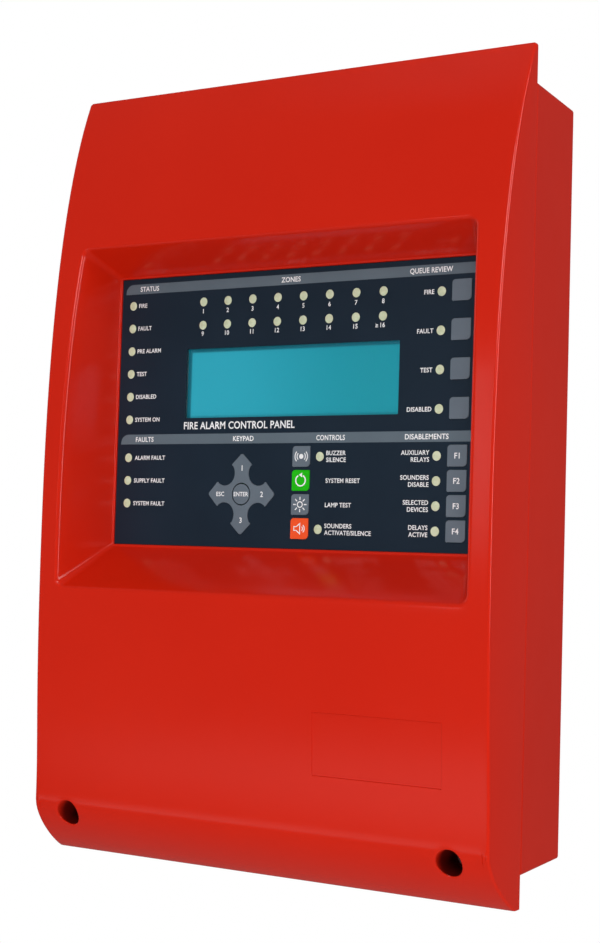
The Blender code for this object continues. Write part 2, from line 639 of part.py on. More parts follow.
def batteries():
    """Two sealed batteries on the shelf, each held by a bent steel strap."""
    front, low, high = -70.3, 36.0, 97.0
    for side, (x0, x1) in (("left", (-135.5, -1.2)), ("right", (1.2, 135.5))):
        y = (front, -WALL - 0.6)
        case = block(f"battery_{side}", (x0, x1), y, (up(low), up(high)), BATTERY_GREY, 1.5)
        bm = bmesh.new()
        for x in (x0 + 12, x1 - 12):
            add_block(bm, (x - 3, x + 3), (-24, -16), (up(high) - 1, up(high) + 5))
        boolean(case, add(f"battery_{side}_tabs", bm, None, cutter=True), "UNION")
        mid = (x0 + x1) / 2
        back, face, over, foot, thick = -WALL - GAP, front - GAP, high + GAP, low - 1.0, 1.5
        path = [(back, over), (face, over), (face, foot)]
        path += [(face - thick, foot), (face - thick, over + thick), (back, over + thick)]
        strap(f"battery_strap_{side}", mid, path)


def strap(name, x, path):
    half = 10.0
    bm = bmesh.new()
    ring = [bm.verts.new((x - half, y, up(z))) for y, z in path]
    face = bm.faces.new(ring)
    made = bmesh.ops.extrude_face_region(bm, geom=[face])["geom"]
    moved = [v for v in made if isinstance(v, bmesh.types.BMVert)]
    bmesh.ops.translate(bm, verts=moved, vec=(2 * half, 0, 0))
    return add(name, bm, STEEL)


def ribbon(name, path, plug):
    """Half of the flat cable between the boards: a thin strip along a YZ path, with its plug."""
    left, right, half = RIBBON_X[0], RIBBON_X[1], 0.45
    sides = ([], [])
    for i, (y, z) in enumerate(path):
        before, after = path[max(i - 1, 0)], path[min(i + 1, len(path) - 1)]
        run = Vector((after[0] - before[0], after[1] - before[1])).normalized()
        for side, sign in zip(sides, (1, -1)):
            side.append((y - sign * half * run.y, z + sign * half * run.x))
    bm = bmesh.new()
    ring = [bm.verts.new((left, y, up(z))) for y, z in sides[0] + sides[1][::-1]]
    face = bm.faces.new(ring)
    made = bmesh.ops.extrude_face_region(bm, geom=[face])["geom"]
    moved = [v for v in made if isinstance(v, bmesh.types.BMVert)]
    bmesh.ops.translate(bm, verts=moved, vec=(right - left, 0, 0))
    strip = add(name, bm, RIBBON)
    body = block(name + "_plug", (left - 3, right + 3), *plug, cutter=True)
    return boolean(strip, body, "UNION")


def ribbons():
    """The flat cable runs up the box, turns close to the hinge line and comes down the cover."""
    face = MAIN_Y - BOARD_THICK - GAP
    rise = [(-15, 330), (-15, 395)] + bezier((-15, 400), (-15, 414), (-24, 418), (-36, 418), 6)
    rise.append((-56, 418))
    ribbon("ribbon_main_side", rise, ((face - 8, face), (up(322), up(332))))
    back = BOARD_FRONT_Y + BOARD_THICK + GAP
    drop = [(-57.2, 417)] + bezier((-58.5, 414), (-59.5, 405), (-54, 380), (-53, 352), 6)
    drop += bezier((-53, 350), (-53, 340), (-44, 346), (-44, 334), 6) + [(-44, 320)]
    return ribbon("ribbon_display_side", drop, ((back, back + 6.5), (up(314), up(324))))


def ride_on_cover(nodes):
    """Parent everything on the cover to an empty on the hinge line."""
    hinge = bpy.data.objects.new("cover_hinge", None)
    hinge.location = (0, RIM_Y * MM, up(HINGE_UP) * MM)
    PARTS.objects.link(hinge)
    bpy.context.view_layer.update()
    for obj in nodes:
        obj.parent = hinge
        obj.matrix_parent_inverse = hinge.matrix_world.inverted()


def main():
    back_box()
    main_board()
    power_supply()
    batteries()
    ribbons()
    fixed = set(PARTS.objects) - {bpy.data.objects["ribbon_display_side"]}
    front_cover()
    membrane()
    display_plate()
    for name, places in GUIDES.items():
        light_guide(name, places)
    lcd()
    display_board()
    keys()
    cover_screws()
    display_works()
    ride_on_cover([obj for obj in PARTS.objects if obj not in fixed])


main()
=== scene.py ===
import bisect
import math

import bmesh
import bpy
from mathutils import Matrix, Vector


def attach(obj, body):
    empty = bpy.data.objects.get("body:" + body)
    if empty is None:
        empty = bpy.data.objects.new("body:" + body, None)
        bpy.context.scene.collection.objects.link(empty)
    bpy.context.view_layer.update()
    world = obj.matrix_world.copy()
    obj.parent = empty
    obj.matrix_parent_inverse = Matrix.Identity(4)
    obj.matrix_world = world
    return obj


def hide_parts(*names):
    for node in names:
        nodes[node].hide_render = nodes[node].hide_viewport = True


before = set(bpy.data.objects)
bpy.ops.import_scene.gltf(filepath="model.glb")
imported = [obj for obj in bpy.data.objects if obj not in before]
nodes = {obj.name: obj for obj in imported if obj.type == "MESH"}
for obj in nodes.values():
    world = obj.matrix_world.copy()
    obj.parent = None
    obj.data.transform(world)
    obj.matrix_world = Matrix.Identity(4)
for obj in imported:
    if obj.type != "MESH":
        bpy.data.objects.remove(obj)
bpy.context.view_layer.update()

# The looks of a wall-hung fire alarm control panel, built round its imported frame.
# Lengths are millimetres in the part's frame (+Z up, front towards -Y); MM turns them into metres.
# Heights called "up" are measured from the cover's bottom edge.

MM = 0.001
scene = bpy.context.scene

# ---------------------------------------------------------------- dimensions, as in the CAD source
COVER_W, COVER_H, BOTTOM = 285.7, 445.0, -220.6
HALF_W = COVER_W / 2
BOX_H, RIM_Y = 407.4, -58.3
COVER_BACK_Y = RIM_Y + 0.28
WALL, SIDE_DRAFT = 3.0, 0.1
BELLY_UP, BELLY_DEPTH = 190.0, 39.2
FLOOR_Y, FLOOR_BACK_Y = -61.5, -58.5
FLOOR_HALF, FLOOR_LOW, FLOOR_HIGH = 114.1, 177.3, 336.1
SLOPE_SIDE, SLOPE_LOW, SLOPE_HIGH = 0.348, 0.67, 0.51
SHEET_Y, SHEET_THICK = -61.0, 0.7
SHEET_HALF, SHEET_LOW, SHEET_HIGH = 112.7, 178.9, 334.7
LCD_LEFT, LCD_RIGHT, LCD_LOW, LCD_HIGH = -66.2, 69.3, 252.2, 292.1
LAMP_WIDE, LAMP_TALL = 4.8, 5.1
SCREW_X, SCREW_UP, BORE_R, BORE_FLOOR_Y = 117.5, 25.4, 7.0, -66.0
BOARD_FRONT_Y, BOARD_BACK_Y = -49.0, -47.4
MAIN_FACE_Y = -9.6
KEY_W, KEY_H, KEY_FACE_Y, KEY_BACK_Y = 11.0, 11.4, -61.4, -58.9
KEY_SOFT, KEY_TIGHT = 1.8, 0.5  # radii of a key's corners
SWITCH_Y, STEM_R = BOARD_FRONT_Y - 5.4, 1.6
PAD_X, PAD_Z = -26.7, 208.7
PAD_REACH, PAD_HEAD_HALF, PAD_HEAD_BACK, PAD_NOTCH = 22.05, 6.55, 5.95, 11.35
PAD_STRETCH_X, PAD_STRETCH_Z = 0.971, 1.029
ARM_SIDE_POINTS = 24  # points along one side of an arm, from its tip to its root
ENTER_R, ENTER_RING = 5.55, 0.7

LAMPS = {
    "status": [(-105.0, 319.0 - 13.45 * i) for i in range(6)],
    "zone": [(-56.0 + 16.4 * i, z) for z in (319.1, 305.6) for i in range(8)],
    "queue": [(93.0, 317.1 - 20.83 * i) for i in range(4)],
    "fault": [(-104.8, 229.4 - 13.3 * i) for i in range(3)],
    "control": [(22.7, 229.7), (22.7, 189.8)],
    "disablement": [(92.4, 229.8 - 13.25 * i) for i in range(4)],
}
QUEUE_KEYS = [(104.7, 317.3 - 20.8 * i) for i in range(4)]
FUNCTION_KEYS = [(104.2, 229.9 - 13.2 * i) for i in range(4)]
CONTROL_KEYS = [(11.3, 229.8 - 13.27 * i) for i in range(4)]

INK = 0.03  # thickness of a printed layer
TYPE_SQUEEZE = 0.93  # width of the letters against the built-in type


def up(z):
    return BOTTOM + z


# ---------------------------------------------------------------- materials


def shader_of(name):
    mat = bpy.data.materials.new(name)
    mat.use_nodes = True
    tree = mat.node_tree
    return mat, tree, tree.nodes["Principled BSDF"]


def add_node(tree, kind, inputs=None, **settings):
    made = tree.nodes.new(kind)
    for key, value in settings.items():
        setattr(made, key, value)
    for key, value in (inputs or {}).items():
        if hasattr(value, "is_output"):
            tree.links.new(value, made.inputs[key])
        else:
            made.inputs[key].default_value = value
    return made


def noise(tree, scale, detail=2.0, stretch=None):
    """A noise texture in the object's own metres, stretched along an axis if asked."""
    place = add_node(tree, "ShaderNodeTexCoord").outputs["Object"]
    if stretch:
        place = add_node(tree, "ShaderNodeMapping", {"Vector": place, "Scale": stretch}).outputs[0]
    made = add_node(tree, "ShaderNodeTexNoise", {"Vector": place, "Scale": scale, "Detail": detail})
    return made.outputs["Fac"]


def spread(tree, value, low, high, start=0.3, end=0.7):
    """A value mapped from the middle of its range to another range."""
    ends = {"From Min": start, "From Max": end, "To Min": low, "To Max": high}
    return add_node(tree, "ShaderNodeMapRange", {"Value": value, **ends}).outputs["Result"]


def ramp(tree, axis, start, end):
    """A soft step from 0 to 1 along one of the object's own axes, between two places in mm."""
    place = add_node(tree, "ShaderNodeTexCoord").outputs["Object"]
    parts = add_node(tree, "ShaderNodeSeparateXYZ", {"Vector": place})
    ends = {"From Min": start * MM, "From Max": end * MM}
    made = add_node(tree, "ShaderNodeMapRange", {"Value": parts.outputs[axis], **ends},
                    interpolation_type="SMOOTHSTEP")
    return made.outputs["Result"]


def mixed(tree, value, first, second):
    """Colour between two, by a value; either may be a socket."""
    made = tree.nodes.new("ShaderNodeMix")
    made.data_type = "RGBA"
    for socket, colour in ((made.inputs[6], first), (made.inputs[7], second)):
        if hasattr(colour, "is_output"):
            tree.links.new(colour, socket)
        else:
            socket.default_value = (*colour, 1)
    tree.links.new(value, made.inputs[0])
    return made.outputs[2]


def wire(tree, shader, colour, rough, height=None, bump=0.0, depth=0.0, **sockets):
    """Links colour, roughness and a relief of a depth in mm to a shader, and sets its other sockets."""
    tree.links.new(colour, shader.inputs["Base Color"])
    tree.links.new(rough, shader.inputs["Roughness"])
    if height is not None:
        looks = {"Height": height, "Strength": bump, "Distance": depth * MM}
        relief = add_node(tree, "ShaderNodeBump", looks)
        tree.links.new(relief.outputs["Normal"], shader.inputs["Normal"])
    for key, value in sockets.items():
        shader.inputs[key.replace("_", " ")].default_value = value


def moulded(name, dark, light, rough, cloud=25.0, grain=900.0, bump=0.1, depth=0.05, **sockets):
    """Moulded or coated surface: soft colour clouds, uneven gloss and a fine grain of a depth in mm."""
    mat, tree, shader = shader_of(name)
    colour = mixed(tree, spread(tree, noise(tree, cloud, 3.0), 0, 1), dark, light)
    smears = spread(tree, noise(tree, cloud * 6, 4.0), *rough)
    wire(tree, shader, colour, smears, noise(tree, grain, 2.0), bump, depth, **sockets)
    return mat


def metal(name, dark, light, rough, stretch, scale):
    """Drawn or plated metal with streaks across the given stretch."""
    mat, tree, shader = shader_of(name)
    streaks = noise(tree, scale, 3.0, stretch)
    colour = mixed(tree, spread(tree, streaks, 0, 1), dark, light)
    wire(tree, shader, colour, spread(tree, streaks, *rough), streaks, 0.2, 0.02, Metallic=1.0)
    return mat


def circuit(name):
    """Solder mask with raised copper tracks under it."""
    mat, tree, shader = shader_of(name)
    place = add_node(tree, "ShaderNodeTexCoord").outputs["Object"]
    flat = add_node(tree, "ShaderNodeMapping", {"Vector": place, "Rotation": (math.pi / 2, 0, 0)})
    black, white = (0, 0, 0, 1), (1, 1, 1, 1)
    pattern = {"Vector": flat.outputs[0], "Scale": 60.0, "Mortar Size": 0.018, "Mortar Smooth": 0.1,
               "Brick Width": 0.9, "Row Height": 0.16, "Color1": black, "Color2": black, "Mortar": white}
    tracks = add_node(tree, "ShaderNodeTexBrick", pattern, offset=0.37, squash=0.6, squash_frequency=3)
    mask = tracks.outputs["Fac"]
    board = mixed(tree, spread(tree, noise(tree, 40.0), 0, 1), (0.006, 0.085, 0.032), (0.010, 0.12, 0.045))
    colour = mixed(tree, mask, board, (0.03, 0.24, 0.09))
    wire(tree, shader, colour, spread(tree, noise(tree, 300.0), 0.28, 0.4), mask, 0.5, 0.04)
    return mat


def lcd_material(name):
    """Backlit display: teal, lighter at its left, with a painted shadow of the window's frame along its left
    and top edges.
    """
    mat, tree, shader = shader_of(name)
    left, top = LCD_LEFT, up(LCD_HIGH)
    teal = mixed(tree, ramp(tree, "X", left, LCD_RIGHT), (0.022, 0.330, 0.440), (0.004, 0.235, 0.300))
    teal = mixed(tree, spread(tree, noise(tree, 14.0, 1.0), 0, 0.3), teal, (0.010, 0.270, 0.345))
    # painted shadow: darker teal along the left and top edges, where the window's frame shades the screen
    teal = mixed(tree, ramp(tree, "X", left + 3.2, left + 1.6), teal, (0.004, 0.105, 0.150))
    teal = mixed(tree, ramp(tree, "Z", top - 2.6, top - 1.4), teal, (0.004, 0.120, 0.170))
    tree.links.new(teal, shader.inputs["Emission Color"])
    rough = spread(tree, noise(tree, 400.0), 0.30, 0.36)
    wire(tree, shader, teal, rough, Emission_Strength=0.38)
    return mat


def bore_shade_material(name, mouth, floor):
    """The cover's red, falling into shade between two depths of a screw bore."""
    mat, tree, shader = shader_of(name)
    red = mixed(tree, noise(tree, 9.0, 1.0), *RED_TONES)
    shade = mixed(tree, ramp(tree, "Y", mouth, floor), red, (0.130, 0.0036, 0.0016))
    wire(tree, shader, shade, spread(tree, noise(tree, 160.0), 0.55, 0.65), Specular_IOR_Level=0.10)
    return mat


RED_TONES = ((0.550, 0.0125, 0.0026), (0.575, 0.0145, 0.0034))
PRINTED = {"grain": 2600.0, "bump": 0.2, "depth": 0.02, "Specular_IOR_Level": 0.22}
PRESSED = {"cloud": 60.0, "grain": 2200.0, "bump": 0.3, "depth": 0.025}
INKED = {"cloud": 80.0, "grain": 3000.0, "bump": 0.1, "depth": 0.01}
RED = moulded("red_abs", *RED_TONES, (0.15, 0.18), 9.0, 160.0, 0.04, 0.03, Specular_IOR_Level=0.34)
RED_BOX = moulded("red_abs_box", *RED_TONES, (0.30, 0.34), 9.0, 400.0, 0.05, 0.03, Specular_IOR_Level=0.16)
SHEET = moulded("membrane_navy", (0.0075, 0.0165, 0.0290), (0.0090, 0.0190, 0.0330), (0.42, 0.50), 30.0,
                **PRINTED)
BAR = moulded("printed_grey", (0.100, 0.132, 0.160), (0.112, 0.146, 0.176), (0.42, 0.5), 40.0, **PRINTED)
KEY_GREY = moulded("key_grey", (0.112, 0.142, 0.174), (0.124, 0.156, 0.190), (0.40, 0.48),
                   Specular_IOR_Level=0.24, **PRESSED)
KEY_GREEN = moulded("key_green", (0.010, 0.420, 0.003), (0.014, 0.470, 0.005), (0.40, 0.46),
                    Specular_IOR_Level=0.22, **PRESSED)
KEY_ORANGE = moulded("key_orange", (0.82, 0.082, 0.018), (0.88, 0.098, 0.024), (0.40, 0.46),
                     Specular_IOR_Level=0.22, **PRESSED)
INK_WHITE = moulded("ink_white", (0.78, 0.79, 0.80), (0.86, 0.87, 0.88), (0.45, 0.55), **INKED)
INK_DARK = moulded("ink_dark", (0.020, 0.027, 0.036), (0.026, 0.034, 0.044), (0.40, 0.5), **INKED)
LENS = moulded("lamp_window", (0.53, 0.58, 0.38), (0.64, 0.69, 0.50), (0.25, 0.4), 420.0, 1500.0, 0.2, 0.03,
               Subsurface_Weight=0.1, Subsurface_Scale=0.0006)
LCD = lcd_material("lcd_teal")
CLEAR = moulded("clear_window", (0.01, 0.10, 0.12), (0.02, 0.12, 0.14), (0.10, 0.14), 30.0, 40.0, 0.005,
                0.005, Alpha=0.06, Specular_IOR_Level=0.25)
STEEL = metal("zinc_steel", (0.50, 0.50, 0.49), (0.66, 0.66, 0.65), (0.26, 0.44), (1, 1, 1), 250.0)
ALUMINIUM = metal("aluminium", (0.62, 0.62, 0.64), (0.76, 0.76, 0.78), (0.30, 0.42), (1, 1, 30), 60.0)
TIN = metal("tinned_lead", (0.62, 0.62, 0.62), (0.74, 0.74, 0.74), (0.28, 0.42), (1, 1, 1), 300.0)
BOARD = circuit("board_green")
BLACK = moulded("black_plastic", (0.010, 0.010, 0.011), (0.018, 0.018, 0.019), (0.38, 0.55), grain=1200.0)
WHITE = moulded("white_plastic", (0.62, 0.62, 0.59), (0.72, 0.72, 0.70), (0.28, 0.4), grain=800.0)
TERMINAL = moulded("terminal_green", (0.012, 0.23, 0.07), (0.02, 0.30, 0.10), (0.32, 0.45))
YELLOW = moulded("winding_tape", (0.62, 0.42, 0.05), (0.74, 0.53, 0.09), (0.35, 0.5), grain=500.0, bump=0.3)
CASE = moulded("battery_case", (0.055, 0.058, 0.062), (0.075, 0.079, 0.083), (0.42, 0.58), grain=1300.0,
               bump=0.4)
RIBBON = moulded("ribbon_grey", (0.38, 0.38, 0.39), (0.46, 0.46, 0.47), (0.42, 0.52))
TAB_RED = moulded("tab_red", (0.50, 0.012, 0.008), (0.56, 0.016, 0.010), (0.35, 0.45))
RESISTOR = moulded("ceramic", (0.60, 0.52, 0.38), (0.70, 0.62, 0.46), (0.4, 0.5), cloud=100.0)


def dress(mat, *names):
    for name in names:
        data = nodes[name].data
        data.materials.clear()
        data.materials.append(mat)


# ---------------------------------------------------------------- mesh helpers


def placed(name, data):
    """A new object in the scene."""
    obj = bpy.data.objects.new(name, data)
    scene.collection.objects.link(obj)
    return obj


def finish_mesh(bm, name, mat=None, sharp=30.0):
    """An object from a bmesh drawn in millimetres."""
    bm.normal_update()
    bmesh.ops.recalc_face_normals(bm, faces=bm.faces)
    bmesh.ops.scale(bm, verts=bm.verts, vec=(MM, MM, MM))
    data = bpy.data.meshes.new(name)
    bm.to_mesh(data)
    bm.free()
    if mat:
        data.materials.append(mat)
    data.shade_smooth()
    data.set_sharp_from_angle(angle=math.radians(sharp))
    return placed(name, data)


def loft(bm, rings):
    """Faces between rings of vertices, with a cap at each end."""
    for a, b in zip(rings, rings[1:]):
        for i in range(len(a)):
            j = (i + 1) % len(a)
            bm.faces.new((a[i], a[j], b[j], b[i]))
    bm.faces.new(rings[0])
    bm.faces.new(rings[-1])


def add_block(bm, x, y, z):
    made = bmesh.ops.create_cube(bm, size=1.0)["verts"]
    bmesh.ops.scale(bm, verts=made, vec=(x[1] - x[0], y[1] - y[0], z[1] - z[0]))
    bmesh.ops.translate(bm, verts=made, vec=((x[0] + x[1]) / 2, (y[0] + y[1]) / 2, (z[0] + z[1]) / 2))
    return made


def block(name, x, y, z, mat=None):
    bm = bmesh.new()
    add_block(bm, x, y, z)
    return finish_mesh(bm, name, mat)


def add_post(bm, x, z, radius, y, segments=32, tall=1.0):
    """A cylinder along Y; tall stretches it in Z."""
    made = bmesh.ops.create_cone(
        bm, cap_ends=True, segments=segments, radius1=radius, radius2=radius, depth=y[1] - y[0]
    )["verts"]
    for vert in made:
        vert.co = Vector((vert.co.x + x, vert.co.z + (y[0] + y[1]) / 2, vert.co.y * tall + z))
    return made


def posts(name, places, radius, y, segments=32):
    bm = bmesh.new()
    for x, z in places:
        add_post(bm, x, z, radius, y, segments)
    return finish_mesh(bm, name)


def evaluated_mesh(obj):
    graph = bpy.context.evaluated_depsgraph_get()
    graph.update()
    return bpy.data.meshes.new_from_object(obj.evaluated_get(graph))


def combine(obj, other, operation):
    """Applies a boolean with the other solid, which is then gone."""
    mod = obj.modifiers.new("boolean", "BOOLEAN")
    mod.operation = operation
    mod.object = other
    data = evaluated_mesh(obj)
    obj.modifiers.clear()
    old = obj.data
    obj.data = data
    bpy.data.meshes.remove(old)
    bpy.data.objects.remove(other, do_unlink=True)
    return obj


def bezier(p0, p1, p2, p3, steps):
    """Points of a cubic curve, without its last point."""
    points = []
    for i in range(steps):
        t = i / steps
        s = 1 - t
        weights = (s**3, 3 * s * s * t, 3 * s * t * t, t**3)
        points.append(tuple(sum(w * p[k] for w, p in zip(weights, (p0, p1, p2, p3))) for k in (0, 1)))
    return points


def arc(cx, cz, radius, start, end, steps):
    """Points of an arc in degrees, both ends included."""
    angles = [math.radians(start + (end - start) * i / steps) for i in range(steps + 1)]
    return [(cx + radius * math.cos(a), cz + radius * math.sin(a)) for a in angles]


# ---------------------------------------------------------------- the cover


def cover_profile(inset, steps):
    """Side outline as (height, depth in front of the rim), top to bottom, inset by a wall thickness."""
    top = (COVER_H - inset, 1.5)
    belly = (BELLY_UP, BELLY_DEPTH - inset)
    knee = (32.0, 34.3 - inset)
    foot = (inset, 3.5)
    points = bezier(top, (369.5, 37.7 - inset), (247.5, belly[1]), belly, steps[0])
    points += bezier(belly, (89, belly[1]), (69, knee[1]), knee, steps[1])
    points += bezier(knee, (18.6 + inset / 2, knee[1]), (foot[0], 7.1), foot, steps[2])
    points.append(foot)
    return points


def step_before(values, target):
    """Index of the last of some rising values that isn't past a target, with one value left after it."""
    return min(max(bisect.bisect_right(values, target) - 1, 0), len(values) - 2)


class Profile:
    """The cover's front outline as a line with a length, so that points can be laid along it."""

    def __init__(self):
        self.points = cover_profile(0.0, (160, 80, 60))
        self.drops = [-height for height, _ in self.points]
        self.lengths = [0.0]
        for a, b in zip(self.points, self.points[1:]):
            self.lengths.append(self.lengths[-1] + math.dist(a, b))
        self.total = self.lengths[-1]

    def at(self, run):
        """(height, depth) at a length from the top."""
        run = min(max(run, 0.0), self.total)
        low = step_before(self.lengths, run)
        share = (run - self.lengths[low]) / (self.lengths[low + 1] - self.lengths[low])
        a, b = self.points[low], self.points[low + 1]
        return a[0] + (b[0] - a[0]) * share, a[1] + (b[1] - a[1]) * share

    def run_of(self, height):
        """The length from the top at which the outline has a height."""
        low = step_before(self.drops, -height)
        a, b = self.points[low], self.points[low + 1]
        share = (a[0] - height) / max(a[0] - b[0], 1e-9)
        return self.lengths[low] + (self.lengths[low + 1] - self.lengths[low]) * share

    def depth(self, height):
        return self.at(self.run_of(height))[1]

    def inward(self, run):
        """Unit direction into the cover, square to its front, at a length from the top."""
        above, below = self.at(run - 0.6), self.at(run + 0.6)
        down, out = above[0] - below[0], below[1] - above[1]
        return Vector((0, down, -out)).normalized()


PROFILE = Profile()


def half_width(depth):
    return HALF_W - SIDE_DRAFT * depth


SIDE_STEPS, LEVEL_STEPS, CORNER_STEPS = 84, 34, 7
SIDE_CROWDING = 1.6  # how much closer the side points lie near the bottom curve


def rounded_loop(x0, x1, z0, z1, radius):
    """A rounded rectangle whose points keep their places in the order whatever its size."""
    corners = ((x1, z1, 0, LEVEL_STEPS), (x0, z1, 90, SIDE_STEPS),
               (x0, z0, 180, LEVEL_STEPS), (x1, z0, 270, SIDE_STEPS))
    arcs = []
    for cx, cz, start, _ in corners:
        inner_x = cx - radius if cx == x1 else cx + radius
        inner_z = cz - radius if cz == z1 else cz + radius
        arcs.append(arc(inner_x, inner_z, radius, start, start + 90, CORNER_STEPS))
    loop = []
    for i, (_, _, _, steps) in enumerate(corners):
        loop += arcs[i]
        a, b = arcs[i][-1], arcs[(i + 1) % 4][0]
        for k in range(1, steps):
            share = k / steps
            if steps == SIDE_STEPS:
                share = 1 - (1 - share) ** SIDE_CROWDING if a[1] > b[1] else share**SIDE_CROWDING
            loop.append((a[0] + (b[0] - a[0]) * share, a[1] + (b[1] - a[1]) * share))
    return loop


def recess_loop(out, corner):
    """The recess's outline at a distance in front of its floor."""
    side = FLOOR_HALF + SLOPE_SIDE * out
    return rounded_loop(-side, side, FLOOR_LOW - SLOPE_LOW * out, FLOOR_HIGH + SLOPE_HIGH * out, corner)


def outward(loop, i):
    """Unit normal of a loop at a point, pointing out of it."""
    before, after = loop[i - 1], loop[(i + 1) % len(loop)]
    dx, dz = after[0] - before[0], after[1] - before[1]
    size = math.hypot(dx, dz)
    return dz / size, -dx / size


def fillet(start, corner, end, steps, ends=True):
    """Points of a rounded corner, from start to end."""
    shares = [k / steps for k in range(0 if ends else 1, steps + (1 if ends else 0))]
    return [start * (1 - t) ** 2 + corner * 2 * t * (1 - t) + end * t * t for t in shares]


def skin_point(x_share, run):
    """A point of the cover's front, from a share of its half width and a length down its outline."""
    height, depth = PROFILE.at(run)
    return Vector((x_share * half_width(depth), RIM_Y - depth, up(height)))


def mouth_of(floor_point, far_point, reach):
    """Where a recess wall, drawn from its floor towards a far point, meets the cover's front."""
    (x, z), (far_x, far_z) = floor_point, far_point
    low, high = 0.0, reach
    for _ in range(30):
        out = (low + high) / 2
        if PROFILE.depth(z + (far_z - z) * out / reach) - RIM_Y + FLOOR_Y > out:
            low = out
        else:
            high = out
    return x + (far_x - x) * out / reach, z + (far_z - z) * out / reach


def rim_points(outer, edge):
    """The rim's points as (x, -run, on a side), each in line with its point of the loop inside it."""
    points = []
    for (x, z), (rim_x, rim_z) in zip(outer, rounded_loop(-HALF_W, HALF_W, -PROFILE.total, 0.0, 2.2)):
        on_side = abs(abs(x) - HALF_W + edge) < 1e-6
        on_end = min(abs(z + edge), abs(z + PROFILE.total - edge)) < 1e-6
        points.append((x if on_end else rim_x, z if on_side else rim_z, on_side))
    return points


def cover_solid():
    """The cover's outer form with its recess, as rings of points from the recess floor out to the rim."""
    reach, roll, edge = 40.0, 1.9, 1.5
    wall_steps, face_steps, crowding = 5, 44, 1.35
    floor = recess_loop(0.0, 3.0)
    count = len(floor)
    opening, shares = [], []
    for floor_point, far_point in zip(floor, recess_loop(reach, 5.2)):
        x, z = mouth_of(floor_point, far_point, reach)
        depth = PROFILE.depth(z)
        opening.append(Vector((x, RIM_Y - depth, up(z))))
        shares.append((x / half_width(depth) * HALF_W, -PROFILE.run_of(z)))
    outer = rounded_loop(-HALF_W + edge, HALF_W - edge, -PROFILE.total + edge, -edge, 1.5)
    rim = rim_points(outer, edge)
    rings = []
    for i, (x, z) in enumerate(floor):
        bottom = Vector((x, FLOOR_Y, up(z)))
        wall = (opening[i] - bottom).normalized()
        nx, nz = outward(floor, i)
        inside = bottom - Vector((nx, 0, nz)) * 0.5
        ring = fillet(inside, bottom, bottom + wall * 0.7, 3)
        nx, nz = outward(shares, i)
        sx, sz = shares[i][0] + nx * roll, shares[i][1] + nz * roll
        start = opening[i] - wall * roll
        ring += [bottom.lerp(start, k / wall_steps) for k in range(1, wall_steps)]
        ring += fillet(start, opening[i], skin_point(sx / HALF_W, -sz), 6)
        for k in range(1, face_steps + 1):
            t = 1 - (1 - k / face_steps) ** crowding
            x, z = sx + (outer[i][0] - sx) * t, sz + (outer[i][1] - sz) * t
            ring.append(skin_point(x / HALF_W, -z))
        rim_x, rim_z, on_side = rim[i]
        corner = skin_point(rim_x / HALF_W, -rim_z)
        behind = corner + (PROFILE.inward(-rim_z) if on_side else Vector((0, 1, 0))) * edge
        behind.y = min(behind.y, RIM_Y - 0.2)
        behind.x = math.copysign(half_width(RIM_Y - behind.y), corner.x) * abs(rim_x) / HALF_W
        ring += fillet(ring[-1].copy(), corner, behind, 5, ends=False) + [behind]
        ring.append(Vector((rim_x, COVER_BACK_Y, corner.z)))
        rings.append(ring)
    bm = bmesh.new()
    grid = [[bm.verts.new(point) for point in ring] for ring in rings]
    depth = len(grid[0])
    for i in range(count):
        j = (i + 1) % count
        for k in range(depth - 1):
            bm.faces.new((grid[i][k], grid[j][k], grid[j][k + 1], grid[i][k + 1]))
    bm.faces.new([column[0] for column in grid])
    bm.faces.new([column[-1] for column in grid])
    return finish_mesh(bm, "front_shell", RED)


def inner_form(name, inset, back_y):
    """The space inside the cover: its profile, inset and drawn across."""
    outline = [(RIM_Y - depth, up(height)) for height, depth in cover_profile(inset, (24, 10, 12))]
    outline = [(back_y, outline[0][1])] + outline + [(back_y, outline[-1][1])]
    half = HALF_W - inset
    bm = bmesh.new()
    reach = [half - SIDE_DRAFT * max(0.0, RIM_Y - y) for y, _ in outline]
    sides = [[bm.verts.new((sign * x, y, z)) for x, (y, z) in zip(reach, outline)] for sign in (-1, 1)]
    loft(bm, sides)
    return finish_mesh(bm, name, RED)


def tub_form():
    """The recess grown by its wall thickness, seen from inside the cover."""
    grow, front_y, corner = 2.5, -110.0, 4.5
    bm = bmesh.new()
    rings = []
    for y in (FLOOR_BACK_Y, front_y):
        out = FLOOR_Y - y
        x = FLOOR_HALF + grow + SLOPE_SIDE * out
        z0, z1 = FLOOR_LOW - grow - SLOPE_LOW * out, FLOOR_HIGH + grow + SLOPE_HIGH * out
        points = rounded_corners(-x, x, z0, z1, corner)
        rings.append([bm.verts.new((px, y, up(pz))) for px, pz in points])
    loft(bm, rings)
    return finish_mesh(bm, "tub")


def bore_cutter(x):
    """A screw bore whose mouth rolls over into the cover's curved face."""
    soft, segments = 1.3, 40
    rings = [(BORE_R, None)]
    for k in range(7):
        a = math.pi / 2 * k / 6
        rings.append((BORE_R + soft * (1 - math.cos(a)), soft * (1 - math.sin(a))))
    rings.append((BORE_R + soft + 0.5, -0.4))
    rings.append((BORE_R + soft + 0.5, -30.0))
    bm = bmesh.new()
    grid = []
    for radius, sunk in rings:
        ring = []
        for i in range(segments):
            a = 2 * math.pi * i / segments
            px, pz = radius * math.cos(a), radius * math.sin(a)
            y = BORE_FLOOR_Y if sunk is None else RIM_Y - PROFILE.depth(SCREW_UP + pz) + sunk
            ring.append(bm.verts.new((x + px, y, up(SCREW_UP) + pz)))
        grid.append(ring)
    loft(bm, grid)
    return finish_mesh(bm, "bore")


